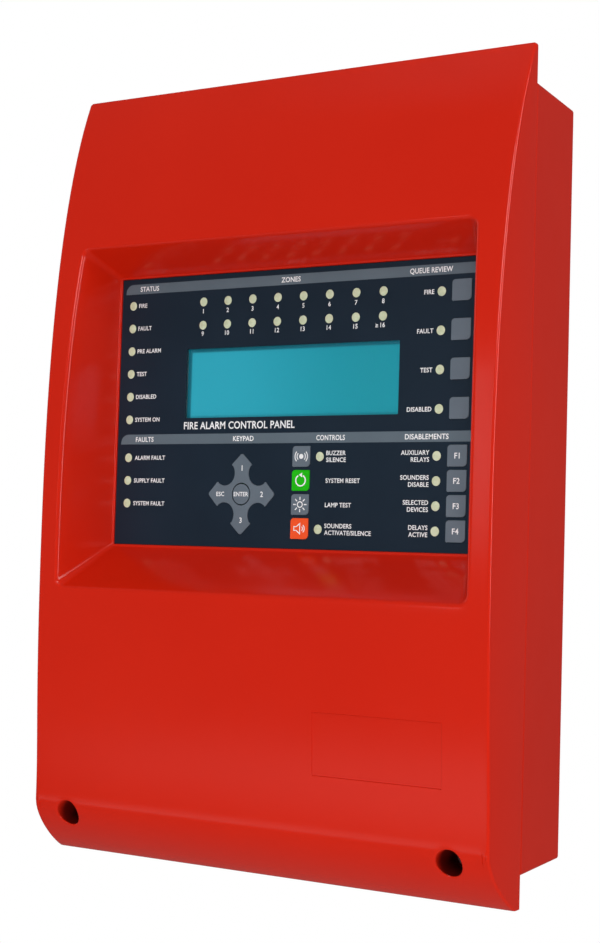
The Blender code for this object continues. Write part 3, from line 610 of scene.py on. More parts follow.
def label_cutter():
    """A shallow pocket that follows the cover's face, with sloping sides."""
    x0, x1, low, high, depth, rows = 41.0, 113.7, 62.0, 94.5, 0.5, 12
    bm = bmesh.new()
    rings = []
    for grow, sunk in ((0.0, depth), (0.35, -0.05), (0.35, -3.0)):
        line = []
        for k in range(rows + 1):
            h = low - grow + (high - low + 2 * grow) * k / rows
            y = RIM_Y - PROFILE.depth(h) + sunk
            line.append([bm.verts.new((x, y, up(h))) for x in (x0 - grow, x1 + grow)])
        rings.append(line)
    for k in range(rows):
        for ring in (rings[0], rings[-1]):
            bm.faces.new((*ring[k], *reversed(ring[k + 1])))
        for a, b in zip(rings, rings[1:]):
            for side in (0, 1):
                bm.faces.new((a[k][side], a[k + 1][side], b[k + 1][side], b[k][side]))
    for a, b in zip(rings, rings[1:]):
        for k in (0, rows):
            bm.faces.new((*a[k], *reversed(b[k])))
    return finish_mesh(bm, "label")


def front_shell():
    """The cover: hollow, with screw bosses, board pillars, a window for the sheet and two screw bores."""
    shell, ahead, rib, gap = cover_solid(), -100, 2.5, 0.3
    screws = [(-SCREW_X, up(SCREW_UP)), (SCREW_X, up(SCREW_UP))]
    pillars = [(x, up(z)) for x in (-113, 113) for z in (190, 325)]
    space = inner_form("space", WALL, RIM_Y + 2)
    combine(space, tub_form(), "DIFFERENCE")
    combine(space, posts("bosses", screws, BORE_R + 2.3, (ahead, -60)), "DIFFERENCE")
    for low in (-BOX_H / 2, BOX_H / 2 - rib):
        combine(space, block("rib", (-150, 150), (ahead, RIM_Y), (low, low + rib)), "DIFFERENCE")
    combine(shell, space, "DIFFERENCE")
    combine(shell, posts("pillars", pillars, 3.0, (-59.5, BOARD_FRONT_Y - gap)), "UNION")
    pocket_half = SHEET_HALF + gap
    pocket_z = (up(SHEET_LOW) - gap, up(SHEET_HIGH) + gap)
    combine(shell, block("pocket", (-pocket_half, pocket_half), (-62, -60), pocket_z), "DIFFERENCE")
    combine(shell, block("window", (-111.3, 111.3), (-61, -57), (up(182.5), up(331.5))), "DIFFERENCE")
    for x, _ in screws:
        combine(shell, bore_cutter(x), "DIFFERENCE")
    combine(shell, posts("clearance", screws, 2.6, (BORE_FLOOR_Y - 1, -59)), "DIFFERENCE")
    combine(shell, posts("pillar_holes", pillars, 1.5, (-55, -48), 16), "DIFFERENCE")
    combine(shell, label_cutter(), "DIFFERENCE")
    mouth = RIM_Y - PROFILE.depth(SCREW_UP)
    data = shell.data
    data.materials.clear()
    data.materials.append(RED)
    # painted shade: the bore walls get a red that darkens to near black deeper into each bore
    data.materials.append(bore_shade_material("red_abs_bore_shade", mouth, mouth + 8.0))
    for poly in data.polygons:
        middle = poly.center / MM
        in_bore = math.hypot(abs(middle.x) - SCREW_X, middle.z - up(SCREW_UP)) < BORE_R + 0.02
        poly.material_index = int(in_bore and middle.y < BORE_FLOOR_Y + 0.5)
    data.shade_smooth()
    data.set_sharp_from_angle(angle=math.radians(28))
    return shell


# ---------------------------------------------------------------- flat print and keys


def flat_shape(name, loops, y, mat, thick=INK):
    """A thin solid from closed XZ loops, those inside others being holes. y is its front face."""
    curve = bpy.data.curves.new(name, "CURVE")
    curve.dimensions = "2D"
    curve.fill_mode = "BOTH"
    curve.extrude = thick / 2
    for loop in loops:
        spline = curve.splines.new("POLY")
        spline.points.add(len(loop) - 1)
        for point, (x, z) in zip(spline.points, loop):
            point.co = (x, z, 0, 1)
        spline.use_cyclic_u = True
    return solid_from_curve(name, curve, (0, y + thick / 2, 0), mat)


def solid_from_curve(name, curve, place, mat, stretch=1.0):
    """Turns a curve drawn in XY into a mesh standing in XZ, with its front towards -Y."""
    source = placed(name, curve)
    data = evaluated_mesh(source)
    bpy.data.objects.remove(source, do_unlink=True)
    turn = Matrix(((stretch, 0, 0, place[0]), (0, 0, -1, place[1]), (0, 1, 0, place[2]), (0, 0, 0, 1)))
    data.transform(Matrix.Scale(MM, 4) @ turn)
    bm = bmesh.new()
    bm.from_mesh(data)
    bmesh.ops.remove_doubles(bm, verts=bm.verts, dist=1e-7)
    bm.normal_update()
    bmesh.ops.recalc_face_normals(bm, faces=bm.faces)
    bm.to_mesh(data)
    bm.free()
    data.materials.clear()
    data.materials.append(mat)
    return placed(name, data)


def font_curve(text, size):
    curve = bpy.data.curves.new("letters", "FONT")
    curve.body = text
    curve.size = size
    curve.extrude = INK / 2
    curve.offset = size * 0.016
    curve.space_character = 1.04
    curve.resolution_u = 3
    return curve


def letter_box(text, size):
    """(left, right, top) of a text."""
    source = placed("letters", font_curve(text, size))
    bpy.context.view_layer.update()
    corners = [tuple(corner) for corner in source.bound_box]
    bpy.data.objects.remove(source, do_unlink=True)
    xs = [corner[0] for corner in corners]
    return min(xs), max(xs), max(corner[1] for corner in corners)


CAP_SHARE = letter_box("H", 1.0)[2]


def lettering(text, x, z, cap, y, mat, align=0.0, width=None):
    """Capitals of a given height, centred on z; align is 0 for left, 0.5 for centre and 1 for right."""
    size = cap / CAP_SHARE
    left, right, _ = letter_box(text, size)
    stretch = width / (right - left) if width else TYPE_SQUEEZE
    start = x - (right - left) * stretch * align - left * stretch
    place = (start, y + INK / 2, z - cap / 2)
    return solid_from_curve("letters", font_curve(text, size), place, mat, stretch)


def merged(name, parts):
    """One mesh object out of several, each keeping its material."""
    data = bpy.data.meshes.new(name)
    bm = bmesh.new()
    mats = []
    for part in parts:
        count = len(bm.faces)
        bm.from_mesh(part.data)
        bm.faces.ensure_lookup_table()
        slots = list(part.data.materials)
        for mat in slots:
            if mat not in mats:
                mats.append(mat)
        for face in bm.faces[count:]:
            face.material_index = mats.index(slots[face.material_index])
        bpy.data.objects.remove(part, do_unlink=True)
    bm.to_mesh(data)
    bm.free()
    for mat in mats:
        data.materials.append(mat)
    return placed(name, data)


def leaf_outline(x, z, grow=0.0):
    """Key face with a soft top-left and bottom-right corner and two tight ones."""
    hw, hh = (KEY_W + 2 * grow) / 2, (KEY_H + 2 * grow) / 2
    soft, tight, softer = KEY_SOFT, KEY_TIGHT, KEY_SOFT * 1.3
    points = arc(x + hw - tight, z + hh - tight, tight, 0, 90, 4)
    points += arc(x - hw + soft, z + hh - soft, soft, 90, 180, 8)
    points += arc(x - hw + tight, z - hh + tight, tight, 180, 270, 4)
    points += arc(x + hw - softer, z - hh + softer, softer, 270, 360, 8)
    return points


def arm_outline(turn, shrink):
    """One arm of the navigation pad: a diamond head on a waisted neck, out at the given quarter turn."""
    reach, head_half = PAD_REACH, PAD_HEAD_HALF
    head_at = PAD_REACH - PAD_HEAD_BACK
    notch_r = math.hypot(head_at - PAD_NOTCH, PAD_HEAD_HALF - PAD_NOTCH)
    inner_r = ENTER_R + ENTER_RING
    lean = math.degrees(shrink / notch_r)
    tip = arc(reach - 1.5, 0, 1.4, 0, 43, 4)[1:]
    shoulder = arc(head_at - 0.15, head_half - 0.75, 0.8, 43, 120, 4)
    upper = tip + shoulder + arc(PAD_NOTCH, PAD_NOTCH, notch_r, -50, -135 + lean, 14)
    inner = arc(0, 0, inner_r, 45 - lean, -45 + lean, 12)
    points = [(reach - 0.1, 0.0)] + upper + inner + [(px, -py) for px, py in reversed(upper)]
    angle = math.radians(90 * turn)
    cos, sin = math.cos(angle), math.sin(angle)
    turned = [(px * cos - py * sin, px * sin + py * cos) for px, py in points]
    return [(PAD_X + px * PAD_STRETCH_X, up(PAD_Z) + pz * PAD_STRETCH_Z) for px, pz in turned]


def oval(x, z, wide, tall, steps=40):
    turns = [2 * math.pi * i / steps for i in range(steps)]
    return [(x + wide / 2 * math.cos(a), z + tall / 2 * math.sin(a)) for a in turns]


def about(middle, size):
    """Both ends of a length round its middle."""
    return middle - size / 2, middle + size / 2


def key_cap(outline, stem_at, mat, soft=0.28):
    """A key: soft edged face over the sheet, and the stem that reaches its switch."""
    bm = bmesh.new()
    ring = [bm.verts.new((x, KEY_FACE_Y, z)) for x, z in outline]
    face = bm.faces.new(ring)
    made = bmesh.ops.extrude_face_region(bm, geom=[face])["geom"]
    moved = [v for v in made if isinstance(v, bmesh.types.BMVert)]
    bmesh.ops.translate(bm, verts=moved, vec=(0, KEY_BACK_Y - KEY_FACE_Y, 0))
    front = [e for e in bm.edges if all(abs(v.co.y - KEY_FACE_Y) < 1e-6 for v in e.verts)]
    bmesh.ops.bevel(bm, geom=front, offset=soft, segments=3, profile=0.5, affect="EDGES", clamp_overlap=True)
    cap = finish_mesh(bm, "cap", mat, 40)
    bm = bmesh.new()
    add_post(bm, *stem_at, STEM_R, (KEY_BACK_Y + 0.001, SWITCH_Y), 16)
    return [cap, finish_mesh(bm, "stem", mat)]


def ring_sector(x, z, radius, width, start, end, steps=14):
    return arc(x, z, radius + width / 2, start, end, steps) + arc(x, z, radius - width / 2, end, start, steps)


def stroke(x0, z0, x1, z1, width):
    size = math.hypot(x1 - x0, z1 - z0)
    nx, nz = -(z1 - z0) / size * width / 2, (x1 - x0) / size * width / 2
    return [(x0 + nx, z0 + nz), (x0 - nx, z0 - nz), (x1 - nx, z1 - nz), (x1 + nx, z1 + nz)]


def buzzer_icon(x, z):
    loops = [oval(x, z, 2.7, 2.7, 20)]
    for radius in (2.6, 3.9):
        for turn in (0, 180):
            loops.append(ring_sector(x, z, radius, 0.55, turn - 42, turn + 42))
    return loops


def reset_icon(x, z):
    radius, width = 3.0, 0.75
    head = [(x - 1.1, z + radius + 0.05), (x + 0.9, z + radius - 1.25), (x + 0.9, z + radius + 1.35)]
    return [ring_sector(x, z, radius, width, -240, 62, 30), head]


def lamp_icon(x, z):
    loops = [oval(x, z, 3.7, 3.7, 24), oval(x, z, 2.5, 2.5, 24)]
    for i in range(8):
        cos, sin = math.cos(math.radians(45 * i)), math.sin(math.radians(45 * i))
        loops.append(stroke(x + 2.5 * cos, z + 2.5 * sin, x + 4.2 * cos, z + 4.2 * sin, 0.6))
    return loops


def speaker_icon(x, z):
    def horn(back, waist, front, box_half, mouth_half):
        side = [(x + back, box_half), (x + waist, box_half), (x + front, mouth_half)]
        return [(px, z - half) for px, half in side] + [(px, z + half) for px, half in reversed(side)]

    waves = [ring_sector(x + 0.6, z, radius, 0.5, -48, 48) for radius in (1.5, 2.6)]
    return [horn(-3.6, -1.9, 0.6, 1.3, 3.4), horn(-3.1, -1.7, 0.1, 0.8, 2.3)] + waves


def keys():
    ink_y = KEY_FACE_Y - INK
    made = {}
    for i, (x, z) in enumerate(QUEUE_KEYS):
        made[f"queue_key_{i + 1}"] = ((x, up(z)), KEY_GREY, "key_grey", [])
    for i, (x, z) in enumerate(FUNCTION_KEYS):
        word = lettering(f"F{i + 1}", x, up(z), 3.0, ink_y, INK_WHITE, 0.5)
        made[f"function_key_{i + 1}"] = ((x, up(z)), KEY_GREY, "key_grey", [word])
    controls = (
        ("buzzer_silence_key", KEY_GREY, "key_grey", buzzer_icon),
        ("system_reset_key", KEY_GREEN, "key_green", reset_icon),
        ("lamp_test_key", KEY_GREY, "key_grey", lamp_icon),
        ("sounders_key", KEY_ORANGE, "key_orange", speaker_icon),
    )
    for (name, mat, slot, icon), (x, z) in zip(controls, CONTROL_KEYS):
        drawn = flat_shape("icon", icon(x, up(z)), ink_y, INK_WHITE)
        made[name] = ((x, up(z)), mat, slot, [drawn])
    for name, (place, mat, slot, extra) in made.items():
        finish_key(name, key_cap(leaf_outline(*place), place, mat) + extra)
    words = ("2", "1", "ESC", "3")
    places = ((-13.3, 208.7), (-26.5, 223.4), (-40.4, 208.7), (-26.5, 194.0))
    for turn, side in enumerate(("right", "up", "left", "down")):
        angle = math.radians(90 * turn)
        stem = (PAD_X + 12.5 * math.cos(angle), up(PAD_Z) + 12.5 * math.sin(angle))
        x, z = places[turn]
        cap = 2.4 if turn == 2 else 3.0
        word = lettering(words[turn], x, up(z), cap, ink_y, INK_WHITE, 0.5)
        parts = key_cap(arm_outline(turn, 0.02), stem, KEY_GREY, 0.12)
        finish_key(f"pad_{side}_key", parts + [word])
    middle = oval(PAD_X, up(PAD_Z), 2 * ENTER_R * PAD_STRETCH_X, 2 * ENTER_R * PAD_STRETCH_Z, 48)
    word = lettering("ENTER", PAD_X, up(PAD_Z), 2.4, ink_y, INK_WHITE, 0.5, 9.4)
    finish_key("enter_key", key_cap(middle, (PAD_X, up(PAD_Z)), KEY_GREY, 0.2) + [word])


def finish_key(name, parts):
    cap = merged(name + "_cap", parts)
    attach(cap, name)
    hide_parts(name)


def keypad_sheet():
    """The printed front sheet, with its openings."""
    loops = [[(-SHEET_HALF, up(SHEET_LOW)), (SHEET_HALF, up(SHEET_LOW)),
              (SHEET_HALF, up(SHEET_HIGH)), (-SHEET_HALF, up(SHEET_HIGH))]]
    for places in LAMPS.values():
        loops += [oval(x, up(z), LAMP_WIDE + 0.1, LAMP_TALL + 0.1, 28) for x, z in places]
    loops += [leaf_outline(x, up(z), 0.12) for x, z in QUEUE_KEYS + FUNCTION_KEYS + CONTROL_KEYS]
    loops.append(pad_opening())
    loops.append(rounded_corners(LCD_LEFT, LCD_RIGHT, up(LCD_LOW), up(LCD_HIGH), 0.6))
    sheet = flat_shape("keypad_sheet", loops, SHEET_Y, SHEET, SHEET_THICK)
    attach(sheet, "cover")
    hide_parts("membrane_overlay")


def rounded_corners(x0, x1, z0, z1, radius):
    points = []
    for cx, cz, start in ((x1 - radius, z1 - radius, 0), (x0 + radius, z1 - radius, 90),
                          (x0 + radius, z0 + radius, 180), (x1 - radius, z0 + radius, 270)):
        points += arc(cx, cz, radius, start, start + 90, 5)
    return points


def pad_opening():
    """Outline round the whole navigation pad."""
    cx, cz, gap = PAD_X, up(PAD_Z), 0.15
    grown = []
    for turn in range(4):
        arm = arm_outline(turn, 0.0)
        for x, z in arm[-ARM_SIDE_POINTS:] + arm[:ARM_SIDE_POINTS + 1]:
            size = math.hypot(x - cx, z - cz)
            grown.append((cx + (x - cx) * (1 + gap / size), cz + (z - cz) * (1 + gap / size)))
    return grown


def bars():
    """The two printed bars behind the headings."""
    y, left, right, soft = SHEET_Y - INK, -110.4, SHEET_HALF, 5.0
    made = []
    for low, high in ((325.9, 331.7), (237.25, 243.0)):
        loop = [(left, up(low)), (right, up(low)), (right, up(high))]
        loop += arc(left + soft, up(high) - soft, soft, 90, 180, 8)
        made.append(flat_shape("bar", [loop], y, BAR))
    strip = merged("legend_bars", made)
    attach(strip, "cover")


def legends():
    """Generic function words and numbers beside the lamps and keys."""
    words = []
    on_sheet, on_bar = SHEET_Y - INK, SHEET_Y - 2 * INK
    right_edge, line_half, upper_bar, lower_bar = 88.2, 1.85, 328.8, 240.1

    def word(text, x, z, cap=2.4, align=0.0, width=None, y=on_sheet):
        words.append(lettering(text, x, up(z), cap, y, INK_WHITE, align, width))

    heads = (
        ("STATUS", -100.3, upper_bar, 13.0),
        ("QUEUE REVIEW", 74.3, upper_bar, 24.9),
        ("FAULTS", -100.0, lower_bar, 12.5),
        ("KEYPAD", -33.3, lower_bar, 13.5),
        ("CONTROLS", 20.2, lower_bar, 17.7),
        ("DISABLEMENTS", 73.8, lower_bar, 25.2),
    )
    for text, x, z, width in heads:
        word(text, x, z, 2.8, 0.0, width, on_bar)
    word("ZONES", 1.3, upper_bar, 2.8, 0.5, None, on_bar)
    for text, (_, z) in zip(("FIRE", "FAULT", "PRE ALARM", "TEST", "DISABLED", "SYSTEM ON"), LAMPS["status"]):
        word(text, -101.0, z)
    for i, (x, z) in enumerate(LAMPS["zone"]):
        word(str(i + 1), x, 313.75 if i < 8 else 300.7, 2.5, 0.5)
    word("\u2265", LAMPS["zone"][-1][0] - 3.5, 300.7, 2.5, 0.5)
    word("FIRE ALARM CONTROL PANEL", -66.7, 247.8, 4.1, 0.0, 73.0)
    for text, (_, z) in zip(("FIRE", "FAULT", "TEST", "DISABLED"), LAMPS["queue"]):
        word(text, 88.75, z, 2.4, 1.0)
    for text, (_, z) in zip(("ALARM FAULT", "SUPPLY FAULT", "SYSTEM FAULT"), LAMPS["fault"]):
        word(text, -100.3, z)
    pairs = (("AUXILIARY", "RELAYS"), ("SOUNDERS", "DISABLE"), ("SELECTED", "DEVICES"), ("DELAYS", "ACTIVE"))
    for (first, second), (_, z) in zip(pairs, LAMPS["disablement"]):
        word(first, right_edge, z + line_half, 2.4, 1.0)
        word(second, right_edge, z - line_half, 2.4, 1.0)
    controls = (("BUZZER", "SILENCE"), ("SYSTEM RESET",), ("LAMP TEST",), ("SOUNDERS", "ACTIVATE/SILENCE"))
    for lines, (_, z) in zip(controls, CONTROL_KEYS):
        for k, text in enumerate(lines):
            word(text, 26.7, z + (line_half - 2 * line_half * k if len(lines) > 1 else 0))
    print_layer = merged("legend_print", words)
    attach(print_layer, "cover")


def lenses():
    """Shallow domed windows over the lamps."""
    dome = ((1.0, -0.6), (1.0, 0.02), (0.94, 0.10), (0.8, 0.16), (0.5, 0.21), (0.2, 0.23))
    for group, places in LAMPS.items():
        bm = bmesh.new()
        for x, z in places:
            rings = []
            for share, rise in dome:
                loop = oval(x, up(z), LAMP_WIDE * share, LAMP_TALL * share, 32)
                rings.append([bm.verts.new((px, SHEET_Y - rise, pz)) for px, pz in loop])
            loft(bm, rings)
        lens = finish_mesh(bm, f"{group}_lenses", LENS, 50)
        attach(lens, "cover")


def display():
    screen = block("lcd_screen", (LCD_LEFT - 0.2, LCD_RIGHT + 0.2), (-58.95, -54.2),
                   (up(LCD_LOW) - 0.2, up(LCD_HIGH) + 0.2), LCD)
    mod = screen.modifiers.new("soft", "BEVEL")
    mod.width, mod.segments = 0.3 * MM, 2
    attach(screen, "cover")
    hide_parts("lcd_glass")


# ---------------------------------------------------------------- electronics


def soft_block(x, y, z, mat, soft=0.3):
    bm = bmesh.new()
    add_block(bm, x, y, z)
    bmesh.ops.bevel(bm, geom=bm.edges[:], offset=soft, segments=2, profile=0.5, affect="EDGES")
    return finish_mesh(bm, "piece", mat)


def turned(x, z, y, way, rings, mat, segments=24):
    """A turned piece that stands on y, out along -Y or +Y by way, from (radius, height) rings."""
    bm = bmesh.new()
    grid = []
    for radius, height in rings:
        loop = oval(x, z, 2 * radius, 2 * radius, segments)
        grid.append([bm.verts.new((px, y + way * height, pz)) for px, pz in loop])
    loft(bm, grid)
    return finish_mesh(bm, "piece", mat)


def span(y, way, near, far):
    """Two places measured out from a face, in rising order."""
    return tuple(sorted((y + way * near, y + way * far)))


def capacitor(x, z, radius, height, y=MAIN_FACE_Y, way=-1):
    """Electrolytic: a sleeve with a waist near its foot, and a metal top."""
    sleeve = [(radius, 0), (radius, 1.2), (radius * 0.9, 1.8), (radius, 2.4), (radius, height - 0.5),
              (radius - 0.5, height)]
    top = [(radius - 0.6, height - 0.05), (radius - 0.7, height + 0.15)]
    stripe = soft_block((x + radius - 0.35, x + radius + 0.1), span(y, way, 2.6, height - 1),
                        about(z, 2.4), WHITE, 0.1)
    return [turned(x, z, y, way, sleeve, BLACK), turned(x, z, y, way, top, TIN), stripe]


def chip(x, z, wide, tall, y=MAIN_FACE_Y, way=-1, pitch=1.27, quad=False):
    """Integrated circuit: a body with bent tinned leads on two or four sides, and a pin-one dimple."""
    body = soft_block(about(x, wide), span(y, way, 0.3, 2.0), about(z, tall), BLACK, 0.25)
    bends = (((0.6, 1.4), span(y, way, 0, 0.16)), ((-0.1, 0.75), span(y, way, 0.12, 1.0)))
    bm = bmesh.new()
    rows = ((z, tall, x, wide, False), (x, wide, z, tall, True))
    for along, length, across, breadth, crossways in rows[:2 if quad else 1]:
        count = int((length - 1.2) / pitch)
        for i in range(count + 1):
            at = along + (i - count / 2) * pitch
            lead = about(at, pitch * 0.4)
            for side in (-1, 1):
                edge = across + side * breadth / 2
                for reach, depth in bends:
                    out = sorted(edge + side * far for far in reach)
                    add_block(bm, *((lead, depth, out) if crossways else (out, depth, lead)))
    leads = finish_mesh(bm, "leads", TIN)
    dot = (x - wide / 2 + 1.1, z + tall / 2 - 1.1)
    return [body, leads, turned(*dot, y, way, [(0.5, 1.9), (0.5, 2.05), (0.4, 2.06)], INK_DARK, 12)]


def chips_in_rows(x, z, across, down, y=MAIN_FACE_Y, way=-1):
    """Rows of small surface parts: a ceramic middle between two tinned ends."""
    middles, ends = bmesh.new(), bmesh.new()
    for i in range(across):
        for j in range(down):
            cx, cz = x + i * 4.2, z + j * 3.4
            add_block(middles, about(cx, 1.4), span(y, way, 0, 0.7), about(cz, 1.2))
            for side in (-1, 1):
                end = sorted((cx + side * 0.65, cx + side * 1.1))
                add_block(ends, end, span(y, way, 0, 0.75), about(cz, 1.24))
    return [finish_mesh(middles, "parts", RESISTOR), finish_mesh(ends, "ends", TIN)]


def header(x, z, ways):
    """Pin header: a black strip with a row of square pins."""
    pitch, y = 2.54, MAIN_FACE_Y
    strip = soft_block(about(x, ways * pitch), (y - 2.5, y), about(z, 2.5), BLACK, 0.2)
    pins = bmesh.new()
    for i in range(ways):
        at = x + (i - (ways - 1) / 2) * pitch
        add_block(pins, about(at, 0.64), (y - 8.0, y), about(z, 0.64))
    return [strip, finish_mesh(pins, "pins", TIN)]


def screw_heads(x, z, ways, y):
    """Slotted screws down the wells of a terminal block."""
    made = []
    for i in range(ways):
        at = x + 7.6 * (i - (ways - 1) / 2)
        head = turned(at, z, y, -1, [(1.75, 0), (1.75, 0.6), (1.6, 0.8)], STEEL, 16)
        slot = block("slot", about(at, 4), (y - 0.9, y - 0.4), about(z, 0.5))
        made.append(combine(head, slot, "DIFFERENCE"))
    return made


def fitted(name, body, pieces):
    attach(merged(name, pieces), body)


def main_board_parts():
    pieces = chip(0, up(252), 24, 24, pitch=1.0, quad=True)
    for x, z, wide, tall in ((44, 262, 7.5, 16), (44, 236, 7.5, 16), (-38, 268, 7.5, 12), (-62, 268, 7.5, 12),
                             (-20, 214, 6, 10), (84, 300, 10, 14), (20, 300, 7.5, 18), (-8, 300, 7.5, 18)):
        pieces += chip(x, up(z), wide, tall)
    for x, z, radius, height in ((70, 205, 5, 12), (84, 205, 5, 12), (98, 205, 5, 12), (62, 222, 3.2, 8),
                                 (-100, 210, 5, 12), (-24, 190, 3.2, 8), (-12, 190, 3.2, 8),
                                 (100, 322, 4, 10)):
        pieces += capacitor(x, up(z), radius, height)
    for x, z, across, down in ((-30, 232, 6, 2), (-96, 184, 10, 2), (-20, 182, 10, 1), (56, 184, 12, 2),
                               (24, 276, 8, 2), (-100, 240, 4, 7), (60, 240, 3, 8), (-40, 316, 12, 2)):
        pieces += chips_in_rows(x, up(z), across, down)
    pieces.append(soft_block((18, 30), (-13.2, MAIN_FACE_Y), (up(252), up(256.5)), TIN, 1.2))
    holder = [(11.2, 0), (11.2, 2.2), (10.8, 2.6)]
    cell = [(10.0, 2.5), (10.0, 3.4), (9.4, 3.7)]
    pieces.append(turned(92, up(258), MAIN_FACE_Y, -1, holder, BLACK, 40))
    pieces.append(turned(92, up(258), MAIN_FACE_Y, -1, cell, STEEL, 40))
    pieces.append(soft_block((88.5, 95.5), (-14.2, -12.9), (up(246), up(258)), TIN, 0.2))
    for x, z, ways in ((-98, 300, 6), (64, 322, 8), (0, 332, 10)):
        pieces += header(x, up(z), ways)
    for x in (-72, 0, 72):
        pieces += screw_heads(x, up(165.5), 8, -18.0)
    fitted("main_board_parts", "box", pieces)


def relay(name, x):
    """Sealed relay: a case with a raised lid."""
    body = soft_block(about(x, 18), (-24.9, -9.9), (up(196), up(224)), WHITE, 0.8)
    lid = soft_block(about(x, 15.2), (-24.95, -24.2), (up(197.4), up(222.6)), WHITE, 0.3)
    case = merged(name + "_case", [body, lid])
    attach(case, "box")
    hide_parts(name)


def transformer():
    """Laminated core round a taped winding, on a bobbin."""
    face, laminations = -9.9, 18
    core = bmesh.new()
    for i in range(laminations):
        z = up(362) + 30.0 * i / laminations
        add_block(core, (56, 96), (face - 20, face - 6), (z, z + 1.45))
    pieces = [finish_mesh(core, "core", STEEL)]
    pieces.append(soft_block((56.3, 95.7), (face - 19.7, face - 6.3), (up(362.2), up(391.6)), BLACK, 0.2))
    pieces.append(soft_block((60.5, 91.5), (face - 25.2, face - 0.8), (up(359), up(395)), YELLOW, 2.2))
    for low, high in ((358, 360), (394, 396)):
        pieces.append(soft_block((60, 92), (face - 26, face), (up(low), up(high)), BLACK, 0.4))
    for k in range(3):
        z = up(364 + 12 * k)
        pieces.append(soft_block((60.3, 91.7), (face - 25.6, face - 24.6), (z, z + 4), YELLOW, 0.2))
    whole = merged("transformer_wound", pieces)
    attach(whole, "box")
    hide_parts("transformer")


def rod(x, z, y, radius, length, mat):
    """A cylinder along X."""
    bm = bmesh.new()
    bmesh.ops.create_cone(bm, cap_ends=True, segments=24, radius1=radius, radius2=radius, depth=length)
    bmesh.ops.rotate(bm, verts=bm.verts, matrix=Matrix.Rotation(math.pi / 2, 3, "Y"))
    bmesh.ops.translate(bm, verts=bm.verts, vec=(x, y, z))
    return finish_mesh(bm, "rod", mat)


def power_board_parts():
    """A choke, smoothing capacitors, a glass fuse, the mains terminal's screws and small parts."""
    pieces = [soft_block((14, 32), (-22, MAIN_FACE_Y), (up(378), up(390)), YELLOW, 0.8)]
    for x, z, radius, height in ((48, 404, 5, 20), (62, 404, 5, 20), (50, 384, 3.2, 9)):
        pieces += capacitor(x, up(z), radius, height)
    for x, radius, length, mat in ((34, 2.2, 12, WHITE), (27, 2.5, 4.6, TIN), (41, 2.5, 4.6, TIN)):
        pieces.append(rod(x, up(368), -17.2, radius, length, mat))
    pieces += screw_heads(30, up(401.5), 3, -18.0)
    pieces += chips_in_rows(16, up(354), 9, 1)
    fitted("power_board_parts", "box", pieces)


def display_board_parts():
    """Back of the display board: solder joints, driver chips and a cable header."""
    joints = bmesh.new()
    spots = []
    for x, z in QUEUE_KEYS + FUNCTION_KEYS + CONTROL_KEYS:
        spots += [(x + dx, z + dz) for dx in (-3.2, 3.2) for dz in (-2.2, 2.2)]
    for places in LAMPS.values():
        spots += [(x + dx, z) for x, z in places for dx in (-1.27, 1.27)]
    spots += [(-70 + 2.54 * i, 303) for i in range(20)]
    spots += [(-78 + 2.54 * i, z) for i in range(9) for z in (311, 327)]
    for x, z in spots:
        made = bmesh.ops.create_cone(
            joints, cap_ends=True, segments=10, radius1=0.85, radius2=0.3, depth=0.8)["verts"]
        for vert in made:
            vert.co = Vector((vert.co.x + x, BOARD_BACK_Y + vert.co.z + 0.4, vert.co.y + up(z)))
    pieces = [finish_mesh(joints, "joints", TIN)]
    for x, z, wide, tall in ((-20, 284, 7.5, 18), (6, 284, 7.5, 18), (32, 284, 7.5, 18), (-60, 230, 7.5, 12),
                             (-36, 262, 12, 12), (40, 240, 7.5, 12)):
        pieces += chip(x, up(z), wide, tall, BOARD_BACK_Y, 1)
    for x, z, across, down in ((-90, 268, 6, 2), (-84, 206, 8, 2), (-20, 224, 8, 2), (58, 262, 6, 2),
                               (20, 312, 10, 1)):
        pieces += chips_in_rows(x, up(z), across, down, BOARD_BACK_Y, 1)
    pieces += capacitor(-90, up(240), 3.2, 6, BOARD_BACK_Y, 1)
    pieces += capacitor(84, up(240), 3.2, 6, BOARD_BACK_Y, 1)
    fitted("display_board_parts", "cover", pieces)


def battery_parts():
    """Coloured collars at the battery tabs and a raised lid line."""
    for side, (x0, x1) in (("left", (-135.5, -1.2)), ("right", (1.2, 135.5))):
        pieces = []
        for x, mat in ((x0 + 12, TAB_RED), (x1 - 12, BLACK)):
            pieces.append(soft_block(about(x, 10), (-26, -14), (up(96.5), up(98.2)), mat, 0.4))
            pieces.append(soft_block(about(x, 6.2), (-23.2, -16.8), (up(98), up(102.2)), TIN, 0.2))
        pieces.append(soft_block((x0 + 22, x1 - 22), (-60, -8), (up(96.6), up(97.5)), CASE, 0.3))
        fitted(f"battery_{side}_parts", "box", pieces)


# ---------------------------------------------------------------- build

shell = front_shell()
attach(shell, "cover")
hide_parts("front_cover")
keypad_sheet()
bars()
legends()
lenses()
keys()
display()
main_board_parts()
relay("relay_left", -80)
relay("relay_right", -50)
transformer()
power_board_parts()
display_board_parts()
battery_parts()

dress(RED_BOX, "back_box")
dress(CLEAR, "lcd_window")
dress(STEEL, "lcd_frame", "earth_stud", *[f"board_screw_{i}" for i in range(1, 5)])
for side in ("left", "right"):
    dress(STEEL, f"battery_strap_{side}", f"cover_screw_{side}", f"display_screw_{side}")
dress(ALUMINIUM, "display_plate", "heatsink")
dress(BOARD, "main_board", "display_board", "power_supply_board")
dress(BLACK, "buzzer", "processor", "fuse_carrier")
dress(TERMINAL, "terminals_left", "terminals_middle", "terminals_right", "mains_terminal")
dress(CASE, "battery_left", "battery_right")
dress(RIBBON, "ribbon_main_side", "ribbon_display_side")
dress(LENS, *[f"{group}_light_guide" for group in LAMPS])

# ---------------------------------------------------------------- floor, light and camera


